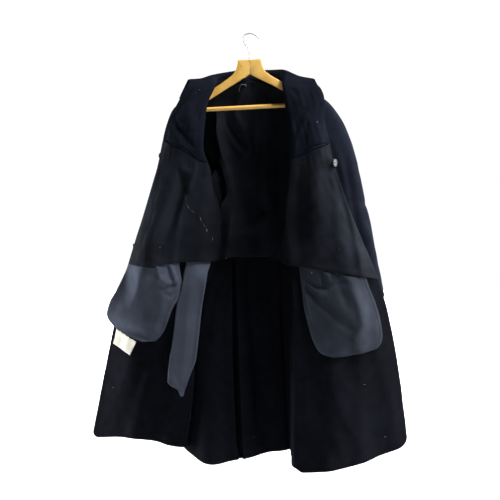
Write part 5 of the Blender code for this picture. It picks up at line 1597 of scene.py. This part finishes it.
def thread_look(name, dark, light):
    k = Look(name)
    ply = k.noise(1800, 2.0, 0.5)
    return k.done(k.blend(k.span(ply, 0.3, 0.7), dark, light), k.span(ply, 0.3, 0.7, 0.7, 0.9), k.bump(ply, 0.3, 0.0002), Specular_IOR_Level=0.15)


def make_looks():
    return {
        "melton": wool("navy_wool", (0.00254, 0.00297, 0.00439), (0.0067, 0.00783, 0.01157), 0.002, 0.02),
        "melton_outer": wool("navy_wool_right_side", (0.00585, 0.00698, 0.01153), (0.01431, 0.0171, 0.02823), 0.02, 0.02),
        "melton_inside": wool("navy_wool_facing", (0.00524, 0.00626, 0.01034), (0.01089, 0.013, 0.02147), 0.003, 0.025),
        # Front linings: the last argument paints light towards the front edges and shade towards the middle.
        "lining": twill("black_twill", (0.00499, 0.00588, 0.00809), (0.01997, 0.02351, 0.03236), 0.0009, 0.85, 0.03, 0.003, 0.03, 0.6, painted_edge_light=(0.80, 1.32)),
        # Back lining: its last factor paints shade over the middle and right of it.
        "lining_back": twill("black_twill_back_painted_shade", (0.0048, 0.00565, 0.00778), (0.01921, 0.02262, 0.03113), 0.0009, 0.85, 0.03, 0.002, 0.02, 0.6, 0.75),
        "satin": satin("black_satin", (0.0030, 0.0032, 0.0040), (0.0070, 0.0075, 0.0090)),
        "drill": twill("grey_drill", (0.0390, 0.0459, 0.0632), (0.0828, 0.0975, 0.1342), 0.0012, 0.9, 0.03, 0.003, 0.012, 0.9),
        # Painted light: the same grey drill made lighter, for the long bag.
        "drill_painted_light": twill("grey_drill_painted_light", (0.04298, 0.05059, 0.06963), (0.08342, 0.09821, 0.13517), 0.0012, 0.9, 0.03, 0.003, 0.012, 0.9),
        # Painted shade: the same grey drill made darker, for the left bag.
        "drill_left": twill("grey_drill_left", (0.0180, 0.0212, 0.0292), (0.0421, 0.0496, 0.0682), 0.0012, 0.9, 0.03, 0.003, 0.012, 0.9),
        "tab": twill("cream_cloth", (0.52, 0.505, 0.43), (0.69, 0.68, 0.625), 0.0007, 0.8, 0.2, 0.0),
        "tape": twill("grey_tape", (0.30, 0.32, 0.35), (0.58, 0.60, 0.63), 0.0008, 0.8, 0.2, 0.0),
        "horn": horn_look("dark_horn"),
        "wood_r": timber("pale_wood_right", -27.0),
        "wood_l": timber("pale_wood_left", 27.0),
        "wood_bar": timber("pale_wood_bar", 0.0),
        "steel": wire_steel("bright_wire"),
        "drill_thread": thread_look("grey_thread", (0.045, 0.05, 0.062), (0.11, 0.12, 0.145)),
        "black_thread": thread_look("black_thread", (0.006, 0.007, 0.008), (0.02, 0.022, 0.026)),
        "navy_thread": thread_look("navy_thread", (0.006, 0.007, 0.011), (0.018, 0.02, 0.03)),
        "cream_thread": thread_look("cream_thread", (0.55, 0.52, 0.42), (0.8, 0.77, 0.66)),
        "lint": thread_look("pale_lint", (0.22, 0.23, 0.25), (0.42, 0.43, 0.46)),
    }


# ---- stage, light, camera ------------------------------------------------------------------------------------


def build_stage():
    k = Look("pale_floor")
    grain = k.noise(3.0, 3.0, 0.5)
    white = k.done(k.blend(k.span(grain, 0.3, 0.7), (0.90, 0.90, 0.905), (0.93, 0.93, 0.93)), 0.9, k.bump(k.noise(300, 2.0), 0.05, 0.0005), Specular_IOR_Level=0.1)
    mesh = bpy.data.meshes.new("floor")
    shape = bmesh.new()
    bmesh.ops.create_grid(shape, x_segments=8, y_segments=8, size=9.0)
    shape.to_mesh(mesh)
    shape.free()
    mesh.materials.append(white)
    floor = bpy.data.objects.new("floor", mesh)
    floor.location = (0, -3.2, -1.72)
    bpy.context.scene.collection.objects.link(floor)

    # A white cyclorama that lights the coat from behind, and a dim room in front of it; it is white wherever it is looked at.
    world = bpy.data.worlds.new("studio")
    bpy.context.scene.world = world
    world.use_nodes = True
    tree = world.node_tree
    way, split, ramp, ray, pick = (tree.nodes.new("ShaderNode" + kind) for kind in ("TexCoord", "SeparateXYZ", "MapRange", "LightPath", "Mix"))
    tree.links.new(way.outputs["Generated"], split.inputs[0])
    tree.links.new(split.outputs["Y"], ramp.inputs["Value"])
    for name, value in (("From Min", -0.15), ("From Max", 0.7), ("To Min", ROOM_LIGHT[0]), ("To Max", ROOM_LIGHT[1])):
        ramp.inputs[name].default_value = value
    tree.links.new(ray.outputs["Is Camera Ray"], pick.inputs[0])
    tree.links.new(ramp.outputs["Result"], pick.inputs[2])
    pick.inputs[3].default_value = 1.02
    back = tree.nodes["Background"]
    back.inputs["Color"].default_value = (1.0, 1.0, 1.0, 1.0)
    tree.links.new(pick.outputs[0], back.inputs["Strength"])

    for name, place, aim, size, power, spread in LIGHTS:
        lamp = bpy.data.lights.new(name, "AREA")
        lamp.shape = "RECTANGLE"
        lamp.size, lamp.size_y = size
        lamp.energy = power
        lamp.spread = math.radians(spread)
        obj = bpy.data.objects.new(name, lamp)
        obj.location = place
        obj.rotation_euler = (Vector(aim) - Vector(place)).to_track_quat("-Z", "Y").to_euler()
        obj.visible_camera = False
        bpy.context.scene.collection.objects.link(obj)

    lens = bpy.data.cameras.new("camera")
    lens.lens = FOCAL * 36.0 / 500.0
    lens.sensor_width = 36.0
    camera = bpy.data.objects.new("camera", lens)
    camera.location = (EYE + np.array(DATUM)) * MM
    camera.rotation_euler = (math.radians(90) - PITCH, 0.0, 0.0)
    bpy.context.scene.collection.objects.link(camera)
    bpy.context.scene.camera = camera
    bpy.context.scene.view_settings.view_transform = "Standard"
    bpy.context.scene.view_settings.look = "None"


ROOM_LIGHT = (0.02, 0.3)
# Soft boxes: name, place, aim, size, power (W), spread (degrees, of the grid in front of it).
LIGHTS = [
    ("left_box", (-2.47, 0.38, -0.5), (-0.40, 0.0, -0.65), (0.7, 2.2), 56.0, 90.0),
    ("right_box", (2.47, 0.38, -0.5), (0.40, 0.0, -0.65), (0.7, 2.2), 35.0, 90.0),
    ("top_box", (1.5, -0.6, 1.6), (0.0, 0.0, -0.6), (1.0, 1.0), 126.0, 180.0),
    ("over", (0.0, 4.1, 2.2), (0.0, 4.1, -1.7), (8.0, 5.4), 620.0, 50.0),
]

looks = make_looks()
build_stage()
build_shell(looks)
build_inside(looks)
build_stitches(looks)
build_lint(looks)
build_buttons(looks)
build_hanger(looks)
